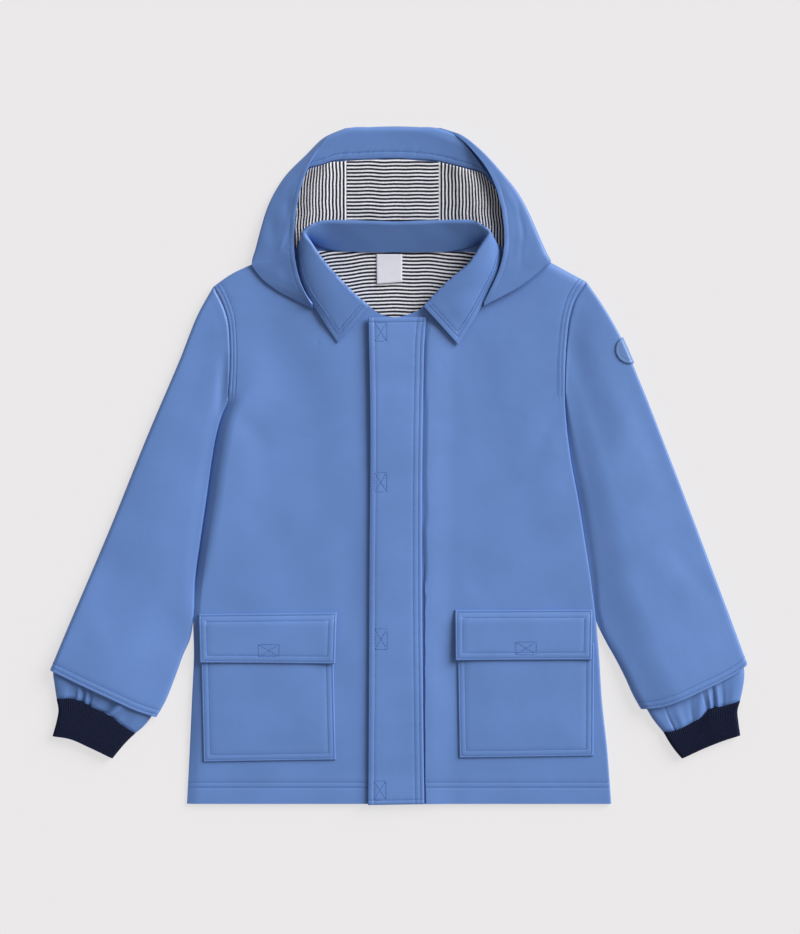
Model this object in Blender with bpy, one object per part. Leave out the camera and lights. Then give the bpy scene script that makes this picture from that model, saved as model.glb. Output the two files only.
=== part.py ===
"""A child's coated raincoat, laid flat on its back with its hood spread above the shoulders.

Tables are in millimetres as the coat lies: x runs to the viewer's right from the centre front,
y runs up from the hem to the hood, z runs up from the surface. "right" and "left" are the
wearer's, so a right-hand piece has negative x. The empty "coat" carries every piece and puts the
middle of the coat's footprint at the world's origin.
"""

import math
from collections import namedtuple

import bmesh
import bpy
import numpy as np

MM = 0.001

# Driving dimensions
WALL = 1.6            # coated cloth with its jersey lining
JERSEY = 1.0          # striped lining jersey where it lies alone
GAP = 0.3             # between pieces that touch
SEAM = 0.5            # between sewn edges, across the seam
SLEEVE_CLEAR = 0.8    # between a sleeve and the side it lies along
SLEEVE_FREE = 160.0   # and below this height it stands away from the side
COAT_LENGTH = 461.5   # hem to the centre-front neck point
HEM_HEIGHT = 4.2      # height of the coat's upper face at the hem
CHEST_HEIGHT = 7.0    # and from HEM_RISE upwards
HEM_RISE = 90.0
HEM_ROWS = (0, 24, 46, 68, 90)    # rows of the body's grids where it rises from the hem
SIDE_ROWS = 6         # rows of the body's grids from there to the underarm
ARMHOLE_ROWS = 6      # and from the underarm to the shoulder
SIDE_ROLL = 9.0       # width over which a folded edge rounds over
SHOULDER_ROLL = 7.0
SLEEVE_ROLL = 9.0
SLEEVE_END_HEIGHT = 12.0
SLEEVE_FILLS_FROM = 0.7     # share of a sleeve's length from which it fills out to that height
CORNER_FOLD = 0.5     # how folded the point is where a folded edge runs into a sewn one
CUFF_WALL = 1.4
CUFF_HEIGHT = 7.0
CUFF_ROLL = 7.0
CUFF_CLEAR = 0.7      # of an inner cuff above the sleeve's underside, which it lies in
CUFF_DROP = 1.6       # how steeply it comes down from there to the surface
GATHERED = (0.25, 0.75)     # shares of its length between which its gathers rise
RIB_WALL = 2.0
RIB_RELIEF = 0.6
RIBS_PER_SIDE = 22
RIB_ROLL = 4.0
CENTRE_FRONT = -1.0   # where the two fronts meet under the placket
OUTWARDS = {"right": -1, "left": 1}    # which way x runs from the centre front to each side
PLACKET_THICK = 2.4
POCKET_THICK = 1.6
FLAP_THICK = 1.8
EASE = 1.6            # width over which a laid-on piece thins to its border
BORDER_SHARE = 0.45   # and the share of its thickness left there
GUSSET = {"right": -49.4, "left": 38.1}   # seams of the hood's centre panel
HOOD_TOP = 643.0
BRIM_DROP = 1.4       # from there to the ends of the centre panel's brim
FACING_THICK = 1.4
LINING_FOOT = 541.0   # the hood lining ends here, behind the collar
CREST_RADIUS = 2.6    # of the collar's fold
BELLY_RISE = 0.6      # how far the fall's belly swells upwards, for each mm outwards
COLLAR_WALL = 1.7
LABEL_THICK = 0.7
BADGE_SIDE = "left"
BADGE_RADIUS = 13.8
BADGE_THICK = 1.3
BADGE_GAP = 0.45
BADGE_ENDS = 0.985    # its first and last rows, as shares of its radius
BADGE_CENTRE = (216.5, 429.0)
BADGE_LIFT = 1.9      # the part of the badge under the sleeve holds the sleeve's edge up
LIFT_ALONG = 75.0     # as far as this from the badge along the sleeve
LIFT_ACROSS = 70.0    # and this far in from the sleeve's edge
LIFT_FADE = 40.0      # over the last of which it dies away
RESTING = 1e-6        # what lies lower than this rests on the surface
SHARP = math.radians(50)    # edges sharper than this aren't shaded round

# Side seams and armholes, from the hem up
SideRow = namedtuple("SideRow", "y right left")
SIDES = [
    SideRow(0.0, -200.8, 202.0),
    SideRow(50.0, -198.2, 198.2),
    SideRow(100.0, -195.9, 192.9),
    SideRow(145.0, -194.1, 190.0),
    SideRow(175.0, -192.2, 187.2),
    SideRow(212.0, -187.0, 182.6),
    SideRow(250.0, -179.6, 177.0),
    SideRow(290.0, -172.2, 170.6),
    SideRow(326.0, -167.6, 163.8),
    SideRow(345.0, -165.4, 161.2),
    SideRow(383.0, -161.6, 158.2),
]
ARMHOLES = {
    "right": [(-161.6, 383), (-160, 411), (-160, 436), (-162.2, 460), (-168.5, 478),
              (-175.5, 490.8)],
    "left": [(158.2, 383), (158.2, 415), (159.6, 440), (163.2, 465), (168.6, 481),
             (178.1, 495.4)],
}
SHOULDERS = {
    "right": [(-175.5, 490.8), (-160, 501.8), (-139, 512), (-110, 524.4), (-82, 536)],
    "left": [(178.1, 495.4), (163, 503.5), (144, 513.8), (110, 527.5), (78.5, 537.5)],
}
BACK_NECK = [(-82, 536), (-74, 529.5), (-60, 525), (-40, 523.5), (0, 523), (40, 523.5),
             (58, 525.5), (71, 529.5), (78.5, 537.5)]
CENTRE_NECK = {
    "right": [(-14, 462.8), (CENTRE_FRONT, COAT_LENGTH)],
    "left": [(11, 464), (CENTRE_FRONT, COAT_LENGTH)],
}

# Sleeves: outer edge and inner edge from the armhole down, then the hem from outer to inner
SLEEVE_OUTER = {
    "right": [(-176.3, 490.4), (-188.6, 468), (-207.6, 421.3), (-236, 354.8), (-274, 260.8),
              (-318.7, 155.3), (-330.3, 127.3)],
    "left": [(178.9, 495.0), (191.4, 476.4), (209, 446.5), (229.4, 399.5), (257.9, 327.3),
             (283.6, 259.8), (322.5, 155.3), (330.6, 133)],
}
SLEEVE_INNER_FREE = {
    "right": [(-198.4, 154.4), (-203.2, 143.9), (-212.6, 118.3), (-222, 95.5), (-229.4, 82.7)],
    "left": [(196.5, 154.4), (205.8, 137.8), (215.2, 119.2), (223, 102), (229.8, 90.2)],
}
SLEEVE_HEM = {
    "right": [(-330.3, 127.3), (-302.6, 114), (-274, 100.7), (-245.6, 87.9), (-229.4, 82.7)],
    "left": [(330.6, 133), (321.6, 125.4), (305.4, 116.4), (286.4, 107.4), (267.4, 98.8),
             (248.4, 92.2), (229.8, 90.2)],
}

# Inner cuffs: top is inside the sleeve, foot is the seam to the rib
CUFF_TOP = {
    "right": [(-321.0, 140.5), (-292, 128), (-262, 113.5), (-226.5, 99.5)],
    "left": [(321.4, 144.5), (294, 129), (262, 115), (225.5, 105.5)],
}
CUFF_OUTER = {
    "right": [(-321.0, 140.5), (-327.4, 126), (-326.3, 114), (-324.4, 99.6)],
    "left": [(321.4, 144.5), (327.4, 130), (326.3, 108), (324.2, 97.9)],
}
CUFF_INNER = {
    "right": [(-226.5, 99.5), (-234.2, 83), (-241.8, 73.6), (-249.6, 67)],
    "left": [(225.5, 105.5), (235.1, 90.5), (240.8, 81.2), (251.5, 67.8)],
}
RIB_SEAM = {
    "right": [(-324.4, 99.6), (-312, 100.4), (-302.6, 98.4), (-288, 91), (-274, 84.2),
              (-260, 73.6), (-249.6, 67)],
    "left": [(324.2, 97.9), (309, 93.4), (294, 89.6), (288.3, 83.6), (276.9, 76.6),
             (263.6, 70.4), (251.5, 67.8)],
}
RIB_OUTER = {
    "right": [(-324.4, 99.0), (-322.6, 88.8), (-324, 80), (-328.2, 64.4)],
    "left": [(324.2, 97.3), (321.6, 87.9), (322.3, 79.3), (324.3, 65.2)],
}
RIB_FOOT = {
    "right": [(-328.2, 64.4), (-312, 61.8), (-293, 53.7), (-271.2, 43.2)],
    "left": [(324.3, 65.2), (310.2, 60.8), (293, 54.2), (268.8, 43.2)],
}
RIB_INNER = {
    "right": [(-249.9, 66.4), (-257.4, 59.6), (-264.8, 51.2), (-271.2, 43.2)],
    "left": [(251.8, 67.2), (257, 58.4), (262.6, 50.4), (268.8, 43.2)],
}
# Gathers of an inner cuff: place across it (outer edge 0, inner edge 1), half-width, height, slant
Gather = namedtuple("Gather", "place width height slant")
GATHERS = [
    Gather(0.10, 0.030, 1.3, 0.05),
    Gather(0.22, 0.035, 1.6, 0.06),
    Gather(0.33, 0.025, 1.1, 0.08),
    Gather(0.44, 0.040, 1.8, 0.02),
    Gather(0.56, 0.030, 1.3, -0.04),
    Gather(0.68, 0.040, 1.7, -0.02),
    Gather(0.79, 0.025, 1.1, -0.06),
    Gather(0.90, 0.035, 1.5, -0.05),
]

# Laid-on pieces, corners from the lower outer one round: outer foot, inner foot, inner top, outer top
Patch = namedtuple("Patch", "outer_foot inner_foot inner_top outer_top")
POCKETS = {
    "right": Patch((-184.9, 40.0), (-59.4, 41.9), (-61.9, 152.0), (-187.3, 152.0)),
    "left": Patch((184.8, 45.6), (57.5, 43.7), (55.6, 153.0), (185.3, 153.0)),
}
FLAPS = {
    "right": Patch((-188.1, 134.2), (-59.9, 133.2), (-58.4, 181.9), (-189.5, 180.5)),
    "left": Patch((182.9, 137.0), (53.7, 136.3), (53.2, 184.3), (183.8, 184.8)),
}
FLAP_STEP = 12.0      # length over which a flap climbs from the front onto its pocket
PLACKET_FREE_EDGE = [(-29, -0.9), (-28.4, 100), (-28, 203), (-27.4, 402), (-28.8, 461.2)]
PLACKET_SEWN_EDGE = [(24.6, -0.2), (23.8, 60), (23.8, 400), (24.8, 440), (26.6, 462)]

# Hood sides, from the brim's corner round to the front of the neck. Each section runs from the
# opening edge, over the outline's fold, and back underneath to its under end.
HoodHeights = namedtuple("HoodHeights", "edge_z crown_z under_z roll")
HOOD_HEIGHTS = [
    HoodHeights(4.7, 4.9, 0.0, 1.7),
    HoodHeights(5.6, 5.8, 0.0, 2.0),
    HoodHeights(8.4, 8.2, 0.0, 4.2),
    HoodHeights(12.2, 11.8, 0.0, 7.0),
    HoodHeights(15.2, 14.8, 0.0, 8.5),
    HoodHeights(16.2, 16.1, 0.0, 9.0),
    HoodHeights(17.0, 17.2, 0.0, 9.5),
    HoodHeights(17.6, 18.4, 0.4, 9.5),
    HoodHeights(17.6, 18.6, 6.0, 8.5),
    HoodHeights(17.4, 18.6, 7.6, 8.0),
    HoodHeights(16.8, 18.4, 7.6, 7.5),
    HoodHeights(16.0, 17.6, 7.6, 6.5),
    HoodHeights(15.2, 16.2, 7.6, 4.0),
    HoodHeights(13.6, 14.0, 7.6, 1.9),
]
HoodPlan = namedtuple("HoodPlan", "outline edge under")
HOOD_PLANS = {
    "right": [
        HoodPlan((-52.0, 641.3), (-53.2, 638.7), (-50.0, 639.0)),
        HoodPlan((-69.5, 633.2), (-67.4, 630.8), (-49.8, 622.0)),
        HoodPlan((-88.0, 615.8), (-81.2, 614.0), (-49.8, 596.0)),
        HoodPlan((-108.0, 595.2), (-89.2, 596.0), (-49.8, 566.0)),
        HoodPlan((-121.0, 573.5), (-95.0, 575.0), (-49.8, 526.0)),
        HoodPlan((-126.2, 560.5), (-97.0, 562.5), (-66.0, 528.6)),
        HoodPlan((-130.2, 547.0), (-98.4, 550.0), (-83.0, 539.0)),
        HoodPlan((-136.0, 524.8), (-99.2, 531.0), (-121.0, 529.0)),
        HoodPlan((-138.4, 517.0), (-98.8, 524.0), (-124.5, 524.0)),
        HoodPlan((-139.0, 511.5), (-98.4, 518.5), (-108.0, 518.0)),
        HoodPlan((-131.0, 499.5), (-96.6, 508.0), (-88.0, 516.0)),
        HoodPlan((-115.5, 487.0), (-93.4, 496.0), (-77.0, 503.0)),
        HoodPlan((-97.5, 477.4), (-88.4, 483.6), (-67.0, 493.0)),
        HoodPlan((-81.6, 469.4), (-82.2, 473.4), (-62.0, 484.0)),
    ],
    "left": [
        HoodPlan((41.0, 641.3), (42.2, 638.6), (39.0, 639.0)),
        HoodPlan((58.5, 634.9), (56.6, 632.2), (38.6, 622.0)),
        HoodPlan((78.0, 620.0), (72.2, 617.0), (38.6, 598.0)),
        HoodPlan((96.0, 600.5), (84.6, 600.4), (38.6, 568.0)),
        HoodPlan((111.0, 582.2), (92.6, 582.4), (38.6, 526.0)),
        HoodPlan((118.0, 571.0), (95.6, 571.4), (61.0, 528.6)),
        HoodPlan((123.8, 559.5), (98.2, 560.0), (79.6, 542.0)),
        HoodPlan((135.8, 532.0), (100.2, 537.0), (124.0, 534.0)),
        HoodPlan((140.6, 521.5), (99.6, 527.0), (128.0, 527.5)),
        HoodPlan((144.0, 513.8), (98.8, 520.0), (112.0, 521.0)),
        HoodPlan((135.2, 505.6), (96.6, 511.0), (86.0, 517.0)),
        HoodPlan((118.0, 491.8), (92.2, 499.0), (77.0, 504.0)),
        HoodPlan((97.0, 480.0), (86.2, 486.0), (66.0, 493.5)),
        HoodPlan((81.0, 472.0), (81.0, 476.0), (61.0, 485.0)),
    ],
}
FACING_FOOT = [(-85.0, 603.6), (-74.5, 606.0), (-64.0, 609.6), (-36.5, 611.5), (1.5, 612.4),
               (39.5, 609.5), (63, 603.8), (80.0, 599.2)]
FACING_TOP = [(-60.5, 634.5), (-51.0, 639.3), (-20.0, 641.6), (10.0, 641.6), (39.5, 639.5),
              (50.0, 636.0)]
# Outer edges of the hood lining's side panels, inside the roll of the hood
LINING_OUTER = {
    "right": [(-108.0, LINING_FOOT), (-109.0, 556.0), (-106.0, 573.0), (-95.0, 592.0),
              (-84.6, 602.8)],
    "left": [(105.0, LINING_FOOT), (105.0, 556.0), (99.0, 573.0), (88.5, 588.0), (79.4, 598.4)],
}

# Collar, from its front end round to the centre back. Each section runs from the neck seam up the
# stand, over the crest and down the fall to its free edge.
CollarHeights = namedtuple("CollarHeights", "neck_z crest_z edge_z belly")
COLLAR_HEIGHTS = [
    CollarHeights(8.9, 13.0, 9.5, 1.0),
    CollarHeights(8.9, 14.5, 10.2, 1.4),
    CollarHeights(8.9, 16.5, 11.4, 1.8),
    CollarHeights(8.9, 18.5, 11.8, 2.2),
    CollarHeights(8.9, 20.5, 12.2, 2.2),
    CollarHeights(8.9, 22.5, 12.4, 1.6),
    CollarHeights(8.0, 24.0, 10.5, 0.4),
    CollarHeights(5.0, 24.0, 7.0, 0.4),
    CollarHeights(4.0, 22.5, 3.6, 2.4),
    CollarHeights(4.0, 21.0, 3.4, 2.8),
    CollarHeights(4.0, 20.0, 3.4, 2.8),
]
CollarPlan = namedtuple("CollarPlan", "neck crest edge")
COLLAR_PLANS = {
    "right": [
        CollarPlan((-25.0, 466.5), (-28.0, 471.2), (-57.2, 437.4)),
        CollarPlan((-38.0, 475.0), (-39.6, 481.0), (-64.2, 448.0)),
        CollarPlan((-51.0, 487.0), (-51.8, 492.6), (-70.8, 458.0)),
        CollarPlan((-62.5, 499.5), (-63.8, 505.6), (-77.0, 468.0)),
        CollarPlan((-72.5, 512.0), (-74.8, 519.0), (-87.0, 485.0)),
        CollarPlan((-78.0, 522.5), (-82.2, 530.4), (-93.4, 505.0)),
        CollarPlan((-79.0, 530.0), (-89.4, 540.4), (-95.0, 523.0)),
        CollarPlan((-74.0, 530.0), (-83.4, 546.6), (-84.0, 537.0)),
        CollarPlan((-60.0, 525.8), (-69.0, 551.4), (-63.0, 536.0)),
        CollarPlan((-40.0, 524.2), (-41.0, 551.2), (-41.0, 534.0)),
        CollarPlan((0.0, 523.8), (0.0, 550.2), (0.0, 533.0)),
    ],
    "left": [
        CollarPlan((21.5, 466.5), (24.4, 471.2), (56.8, 435.6)),
        CollarPlan((31.5, 474.5), (33.4, 480.8), (63.0, 446.0)),
        CollarPlan((41.5, 483.8), (43.6, 491.0), (69.4, 456.6)),
        CollarPlan((53.0, 494.0), (55.6, 501.4), (76.2, 468.6)),
        CollarPlan((64.0, 504.8), (67.4, 511.6), (84.8, 486.0)),
        CollarPlan((73.0, 517.0), (77.0, 525.8), (93.0, 504.0)),
        CollarPlan((76.0, 530.0), (85.6, 540.6), (96.0, 521.0)),
        CollarPlan((71.0, 530.6), (79.6, 546.8), (80.0, 537.0)),
        CollarPlan((58.0, 526.4), (67.0, 551.6), (61.0, 536.0)),
        CollarPlan((40.0, 524.2), (42.0, 551.6), (42.0, 534.0)),
        CollarPlan((0.0, 523.8), (0.0, 550.2), (0.0, 533.0)),
    ],
}
NECK_SECTIONS = 7     # collar sections whose neck seam lies on a front

BACK_LINING = Patch((-96.0, 438.0), (92.0, 438.0), (66.0, 523.5), (-70.0, 524.5))
LABEL = Patch((-20.6, 493.2), (3.5, 495.0), (3.6, 521.6), (-21.0, 521.6))

Finish = namedtuple("Finish", "colour roughness")
FINISHES = {
    "coated_fabric": Finish((0.133, 0.235, 0.521), 0.55),
    "striped_jersey": Finish((0.45, 0.45, 0.48), 0.9),
    "rib_knit": Finish((0.012, 0.016, 0.036), 0.95),
    "label_tape": Finish((0.75, 0.75, 0.80), 0.8),
    "badge_rubber": Finish((0.14, 0.25, 0.54), 0.45),
}


# Curves and grids

def spline(values, knots, slopes, at):
    """A cubic through values, which lie at knots with these slopes, read at the places at."""
    i = np.clip(np.searchsorted(knots, at, side="right") - 1, 0, len(knots) - 2)
    span = (knots[i + 1] - knots[i])[:, None]
    f = (at - knots[i])[:, None] / span
    return ((1 + 2 * f) * (1 - f) ** 2 * values[i] + f * (1 - f) ** 2 * span * slopes[i]
            + f * f * (3 - 2 * f) * values[i + 1] - f * f * (1 - f) * span * slopes[i + 1])


def between(rows, at):
    """Sections between a table's rows, at fractional row numbers, that never overshoot a row."""
    rows = np.array(rows, float)
    steps = np.diff(rows, axis=0)
    before, after = steps[:-1], steps[1:]
    same_way = before * after > 0
    middle = np.where(same_way, 2 * before * after / np.where(same_way, before + after, 1), 0)
    slopes = np.concatenate([steps[:1], middle, steps[-1:]])
    return spline(rows, np.arange(len(rows), dtype=float), slopes, at)


def roll(radius, steps=3):
    """Distances in from a folded edge, closer together where it rounds over."""
    return [radius * (1 - math.cos(math.pi / 2 * k / steps)) for k in range(steps + 1)]


def run(points, count, start=(0,), end=(0,)):
    """Points along a curve: at the start and end distances, and count of them evenly between."""
    points = np.asarray(points, float)
    knots = np.concatenate([[0.0], np.cumsum(np.linalg.norm(np.diff(points, axis=0), axis=1))])
    length = knots[-1]
    middle = np.linspace(start[-1], length - end[-1], count)
    at = np.array([*start[:-1], *middle, *(length - d for d in reversed(end[:-1]))])
    if len(points) > 2:
        slopes = np.gradient(points, knots, axis=0)
    else:
        slopes = np.repeat((points[1:] - points[:1]) / length, 2, axis=0)
    return spline(points, knots, slopes, at)


def joined(*runs):
    """Runs that meet end to end, as one."""
    return np.vstack([runs[0], *(r[1:] for r in runs[1:])])


def shares(points):
    """How far along a run each of its points lies, from 0 to 1."""
    far = np.concatenate([[0.0], np.cumsum(np.linalg.norm(np.diff(points, axis=0), axis=1))])
    return far / far[-1]


def fill(foot, top, first, last):
    """The grid between four edges: rows go from foot to top, columns from first to last."""
    u = (shares(foot) + shares(top))[None, :, None] / 2
    v = (shares(first) + shares(last))[:, None, None] / 2
    sides = (1 - u) * first[:, None] + u * last[:, None]
    ends = (1 - v) * foot[None] + v * top[None]
    corners = ((1 - u) * ((1 - v) * foot[0] + v * top[0]) + u * ((1 - v) * foot[-1] + v * top[-1]))
    return sides + ends - corners


def quad(patch, columns, rows, border=EASE):
    """The grid of a four-cornered piece, with a row and a column close to each border."""
    def side(start, end, count):
        return run([start, end], count, (0, border), (0, border))

    return fill(side(patch.outer_foot, patch.inner_foot, columns),
                side(patch.outer_top, patch.inner_top, columns),
                side(patch.outer_foot, patch.outer_top, rows),
                side(patch.inner_foot, patch.inner_top, rows))


Rounding = namedtuple("Rounding", "rise tuck")


def rounding(plan, radius, first=0.0, last=0.0, foot=0.0, top=0.0):
    """How a grid rounds over at its folded edges.

    rise goes from 0 on a folded edge to 1 where the cloth lies flat; tuck points inwards from the
    fold, with length 1 on it. The weights say how folded each edge is, for each row or column.
    """
    rise = np.ones(plan.shape[:2])
    tuck = np.zeros(plan.shape)
    for weight, axis, back in ((first, 1, False), (last, 1, True), (foot, 0, False), (top, 0, True)):
        if not np.any(weight):
            continue
        grid = np.flip(plan, axis) if back else plan
        step = np.diff(grid, axis=axis)
        size = np.linalg.norm(step, axis=2)
        far = np.insert(np.cumsum(size, axis=axis), 0, 0.0, axis=axis)
        short = np.clip(1 - far / radius, 0, 1)
        inward = np.concatenate([step, np.take(step, [-1], axis)], axis) / np.concatenate(
            [size, np.take(size, [-1], axis)], axis)[..., None]
        if back:
            short, inward = np.flip(short, axis), np.flip(inward, axis)
        weight = np.expand_dims(np.broadcast_to(weight, plan.shape[1 - axis]), axis)
        rise = rise * (1 - weight * (1 - np.sqrt(1 - short ** 2)))
        tuck += inward * (weight * short)[..., None]
    return Rounding(rise, tuck)


def with_z(plan, z):
    return np.concatenate([plan, np.broadcast_to(z, plan.shape[:2])[..., None]], axis=2)


def layer(plan, folds, middle, face, wall=WALL):
    """Outer and inner grids of one layer of cloth, from a fold at height middle to a flat face."""
    outer = with_z(plan, middle + (face - middle) * folds.rise)
    inwards = with_z(folds.tuck, -np.sign(face - middle) * folds.rise)
    return outer, outer + wall * inwards


def thickened(outer, wall):
    """The inner grid of a bent sheet: outer moved in along its normals."""
    normal = np.cross(np.gradient(outer, axis=1), np.gradient(outer, axis=0))
    return outer - wall * normal / np.linalg.norm(normal, axis=2, keepdims=True)


# Objects

def finish(slot):
    material = bpy.data.materials.get(slot)
    if material is None:
        material = bpy.data.materials.new(slot)
        material.use_nodes = True
        surface = material.node_tree.nodes["Principled BSDF"]
        surface.inputs["Base Color"].default_value = (*FINISHES[slot].colour, 1)
        surface.inputs["Roughness"].default_value = FINISHES[slot].roughness
        surface.inputs["Metallic"].default_value = 0
    return material


def cloth(name, outer, inner, slot="coated_fabric", ring=False):
    """A closed wall between an outer and an inner grid; a ring's last column joins its first."""
    rows, columns = outer.shape[:2]
    mesh = bpy.data.meshes.new(name)
    shape = bmesh.new()
    skins = [[[shape.verts.new(p * MM) for p in row] for row in grid] for grid in (outer, inner)]
    spans = columns if ring else columns - 1
    for i in range(rows - 1):
        for j in range(spans):
            k = (j + 1) % columns
            for skin, turn in zip(skins, (1, -1)):
                shape.faces.new((skin[i][j], skin[i][k], skin[i + 1][k], skin[i + 1][j])[::turn])
    rims = [[(skins[0][i][j], skins[1][i][j]) for j in range(columns)] for i in (0, rows - 1)]
    pairs = [(rim[j], rim[(j + 1) % columns]) for rim in rims for j in range(spans)]
    if not ring:
        ends = [[(skins[0][i][j], skins[1][i][j]) for i in range(rows)] for j in (0, columns - 1)]
        pairs += [(end[i], end[i + 1]) for end in ends for i in range(rows - 1)]
    for (a, b), (c, d) in pairs:
        shape.faces.new((a, b, d, c))
    bmesh.ops.recalc_face_normals(shape, faces=shape.faces)
    shape.to_mesh(mesh)
    shape.free()
    mesh.shade_smooth()
    mesh.set_sharp_from_angle(angle=SHARP)
    mesh.materials.append(finish(slot))
    piece = bpy.data.objects.new(name, mesh)
    bpy.context.scene.collection.objects.link(piece)
    return piece


def laid_on(name, plan, base, thick, slot="coated_fabric"):
    """A flat piece on another: its underside follows base, and it thins towards its border."""
    eased = BORDER_SHARE + (1 - BORDER_SHARE) * rounding(plan, EASE, 1, 1, 1, 1).rise
    return cloth(name, with_z(plan, base + thick * eased), with_z(plan, base), slot)


def tube(name, plan, middle, half, radius, wall=WALL, slot="coated_fabric", lift=None, ridges=None):
    """A flattened tube: its two layers meet in folds at the first and last columns."""
    folds = rounding(plan, radius, first=1, last=1)
    front_outer, front_inner = layer(plan, folds, middle, middle + half, wall)
    back_outer, back_inner = layer(plan, folds, middle, middle - half, wall)
    if lift is not None:
        for grid, share in ((front_outer, 1), (front_inner, 1), (back_outer, 0.5), (back_inner, 0.5)):
            grid[..., 2] += share * lift * folds.rise
    rings = [np.concatenate([front, back[:, -2:0:-1]], axis=1)
             for front, back in ((front_outer, back_outer), (front_inner, back_inner))]
    if ridges is not None:
        out = rings[0] - rings[1]
        out /= np.linalg.norm(out, axis=2, keepdims=True)
        raised = np.arange(rings[0].shape[1]) % 2 * ridges
        rings[0] = rings[0] + out * raised[None, :, None]
        rings[0][..., 2] = np.maximum(rings[0][..., 2], 0)
    return cloth(name, *rings, slot, ring=True)


# Heights that pieces share

def ramp(value):
    value = np.clip(value, 0, 1)
    return value * value * (3 - 2 * value)


def coat_top(plan):
    """Height of the coat's upper face: low at the hem, a little fuller from there up."""
    return HEM_HEIGHT + (CHEST_HEIGHT - HEM_HEIGHT) * ramp(plan[..., 1] / HEM_RISE)


# Body

def body_edge(side, shoulder_fold):
    """A side seam and the armhole above it, and the row at which one runs into the other."""
    seam = run([(getattr(row, side), row.y) for row in SIDES], SIDE_ROWS, start=HEM_ROWS)
    armhole = run(ARMHOLES[side], ARMHOLE_ROWS, end=shoulder_fold)
    return joined(seam, armhole), len(seam) - 1


def folded_below(count, row):
    """Weights of a folded edge: folded below the given row, half folded on it, sewn above it."""
    return np.r_[np.ones(row), CORNER_FOLD, np.zeros(count - row - 1)]


def neck_edge(side):
    """A front's neck seam, from the shoulder to the centre front."""
    sewn = [plan.neck for plan in COLLAR_PLANS[side][:NECK_SECTIONS - 1]]
    return [SHOULDERS[side][-1], *reversed(sewn), *CENTRE_NECK[side]]


def make_front(side):
    fold, shoulder_fold = roll(SIDE_ROLL), roll(SHOULDER_ROLL)
    first, underarm = body_edge(side, shoulder_fold)
    centre_x = CENTRE_FRONT + OUTWARDS[side] * SEAM / 2
    last = run([(centre_x, 0), (centre_x, COAT_LENGTH)], SIDE_ROWS + ARMHOLE_ROWS - 1, HEM_ROWS,
               shoulder_fold)
    shoulder = run(SHOULDERS[side], 5, start=fold)
    neck = run([*neck_edge(side)[:-1], (centre_x, COAT_LENGTH)], 7)
    top = joined(shoulder, neck)
    foot = run([first[0], last[0]], len(top) - len(fold) + 1, start=fold)
    plan = fill(foot, top, first, last)
    folds = rounding(plan, SIDE_ROLL, first=folded_below(len(first), underarm),
                     top=folded_below(len(top), len(shoulder) - 1))
    face = coat_top(plan)
    cloth(f"front_{side}", *layer(plan, folds, face / 2 + SEAM / 2, face))


def make_back():
    fold, shoulder_fold = roll(SIDE_ROLL), roll(SHOULDER_ROLL)
    (first, underarm), (last, _) = (body_edge(side, shoulder_fold) for side in OUTWARDS)
    shoulder = run(SHOULDERS["right"], 5, start=fold)
    top = joined(shoulder, run(BACK_NECK, 9), run(SHOULDERS["left"], 5, start=fold)[::-1])
    foot = run([first[0], last[0]], len(top) - 2 * (len(fold) - 1), start=fold, end=fold)
    plan = fill(foot, top, first, last)
    folded_side = folded_below(len(first), underarm)
    folded_top = folded_below(len(top), len(shoulder) - 1)
    folds = rounding(plan, SIDE_ROLL, first=folded_side, last=folded_side,
                     top=folded_top + folded_top[::-1])
    cloth("back", *layer(plan, folds, coat_top(plan) / 2 - SEAM / 2, 0.0))


def sleeve_inner_edge(side):
    """Down from the underarm: just clear of the coat's side, then free."""
    gap = OUTWARDS[side] * SLEEVE_CLEAR
    beside = [(getattr(row, side) + gap, row.y) for row in reversed(SIDES) if row.y > SLEEVE_FREE]
    return beside + SLEEVE_INNER_FREE[side]


def badge_lift(plan):
    """How far the badge, where it passes under the sleeve, holds the sleeve off the surface."""
    across = np.linalg.norm(plan - plan[:, :1], axis=2)
    along = np.abs(plan[:, :1, 1] - BADGE_CENTRE[1])
    return (BADGE_LIFT * ramp((LIFT_ALONG - along) / LIFT_FADE)
            * ramp((LIFT_ACROSS - across) / LIFT_FADE))


def make_sleeve(side):
    fold = roll(SLEEVE_ROLL)
    armhole = [(x + OUTWARDS[side] * SEAM, y) for x, y in reversed(ARMHOLES[side])]
    outer, inner = SLEEVE_OUTER[side], sleeve_inner_edge(side)
    armhole[0], armhole[-1] = outer[0], inner[0]
    plan = fill(run(armhole, 6, fold, fold), run(SLEEVE_HEM[side], 6, fold, fold),
                run(outer, 13), run(inner, 13))
    down = np.linspace(0, 1, len(plan))[:, None]
    filled = ramp((down - SLEEVE_FILLS_FROM) / (1 - SLEEVE_FILLS_FROM))
    height = CHEST_HEIGHT + (SLEEVE_END_HEIGHT - CHEST_HEIGHT) * filled
    lift = badge_lift(plan) if side == BADGE_SIDE else 0
    tube(f"sleeve_{side}", plan, lift + height / 2, height / 2, SLEEVE_ROLL)
    return plan


def make_inner_cuff(side):
    columns, rows = 27, 5
    plan = fill(run(CUFF_TOP[side], columns), run(RIB_SEAM[side], columns),
                run(CUFF_OUTER[side], rows), run(CUFF_INNER[side], rows))
    down = np.linspace(0, 1, rows)[:, None]
    across = np.linspace(0, 1, columns)[None]
    gathers = sum(g.height * np.exp(-((across - g.place - g.slant * (1 - down)) / g.width) ** 2)
                  for g in GATHERS)
    start, end = GATHERED
    floor = (WALL + CUFF_CLEAR) * ramp(CUFF_DROP * (1 - down))
    tube(f"inner_cuff_{side}", plan, floor + CUFF_HEIGHT / 2, CUFF_HEIGHT / 2, CUFF_ROLL,
         CUFF_WALL, lift=gathers * ramp((down - start) / (end - start)))


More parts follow.
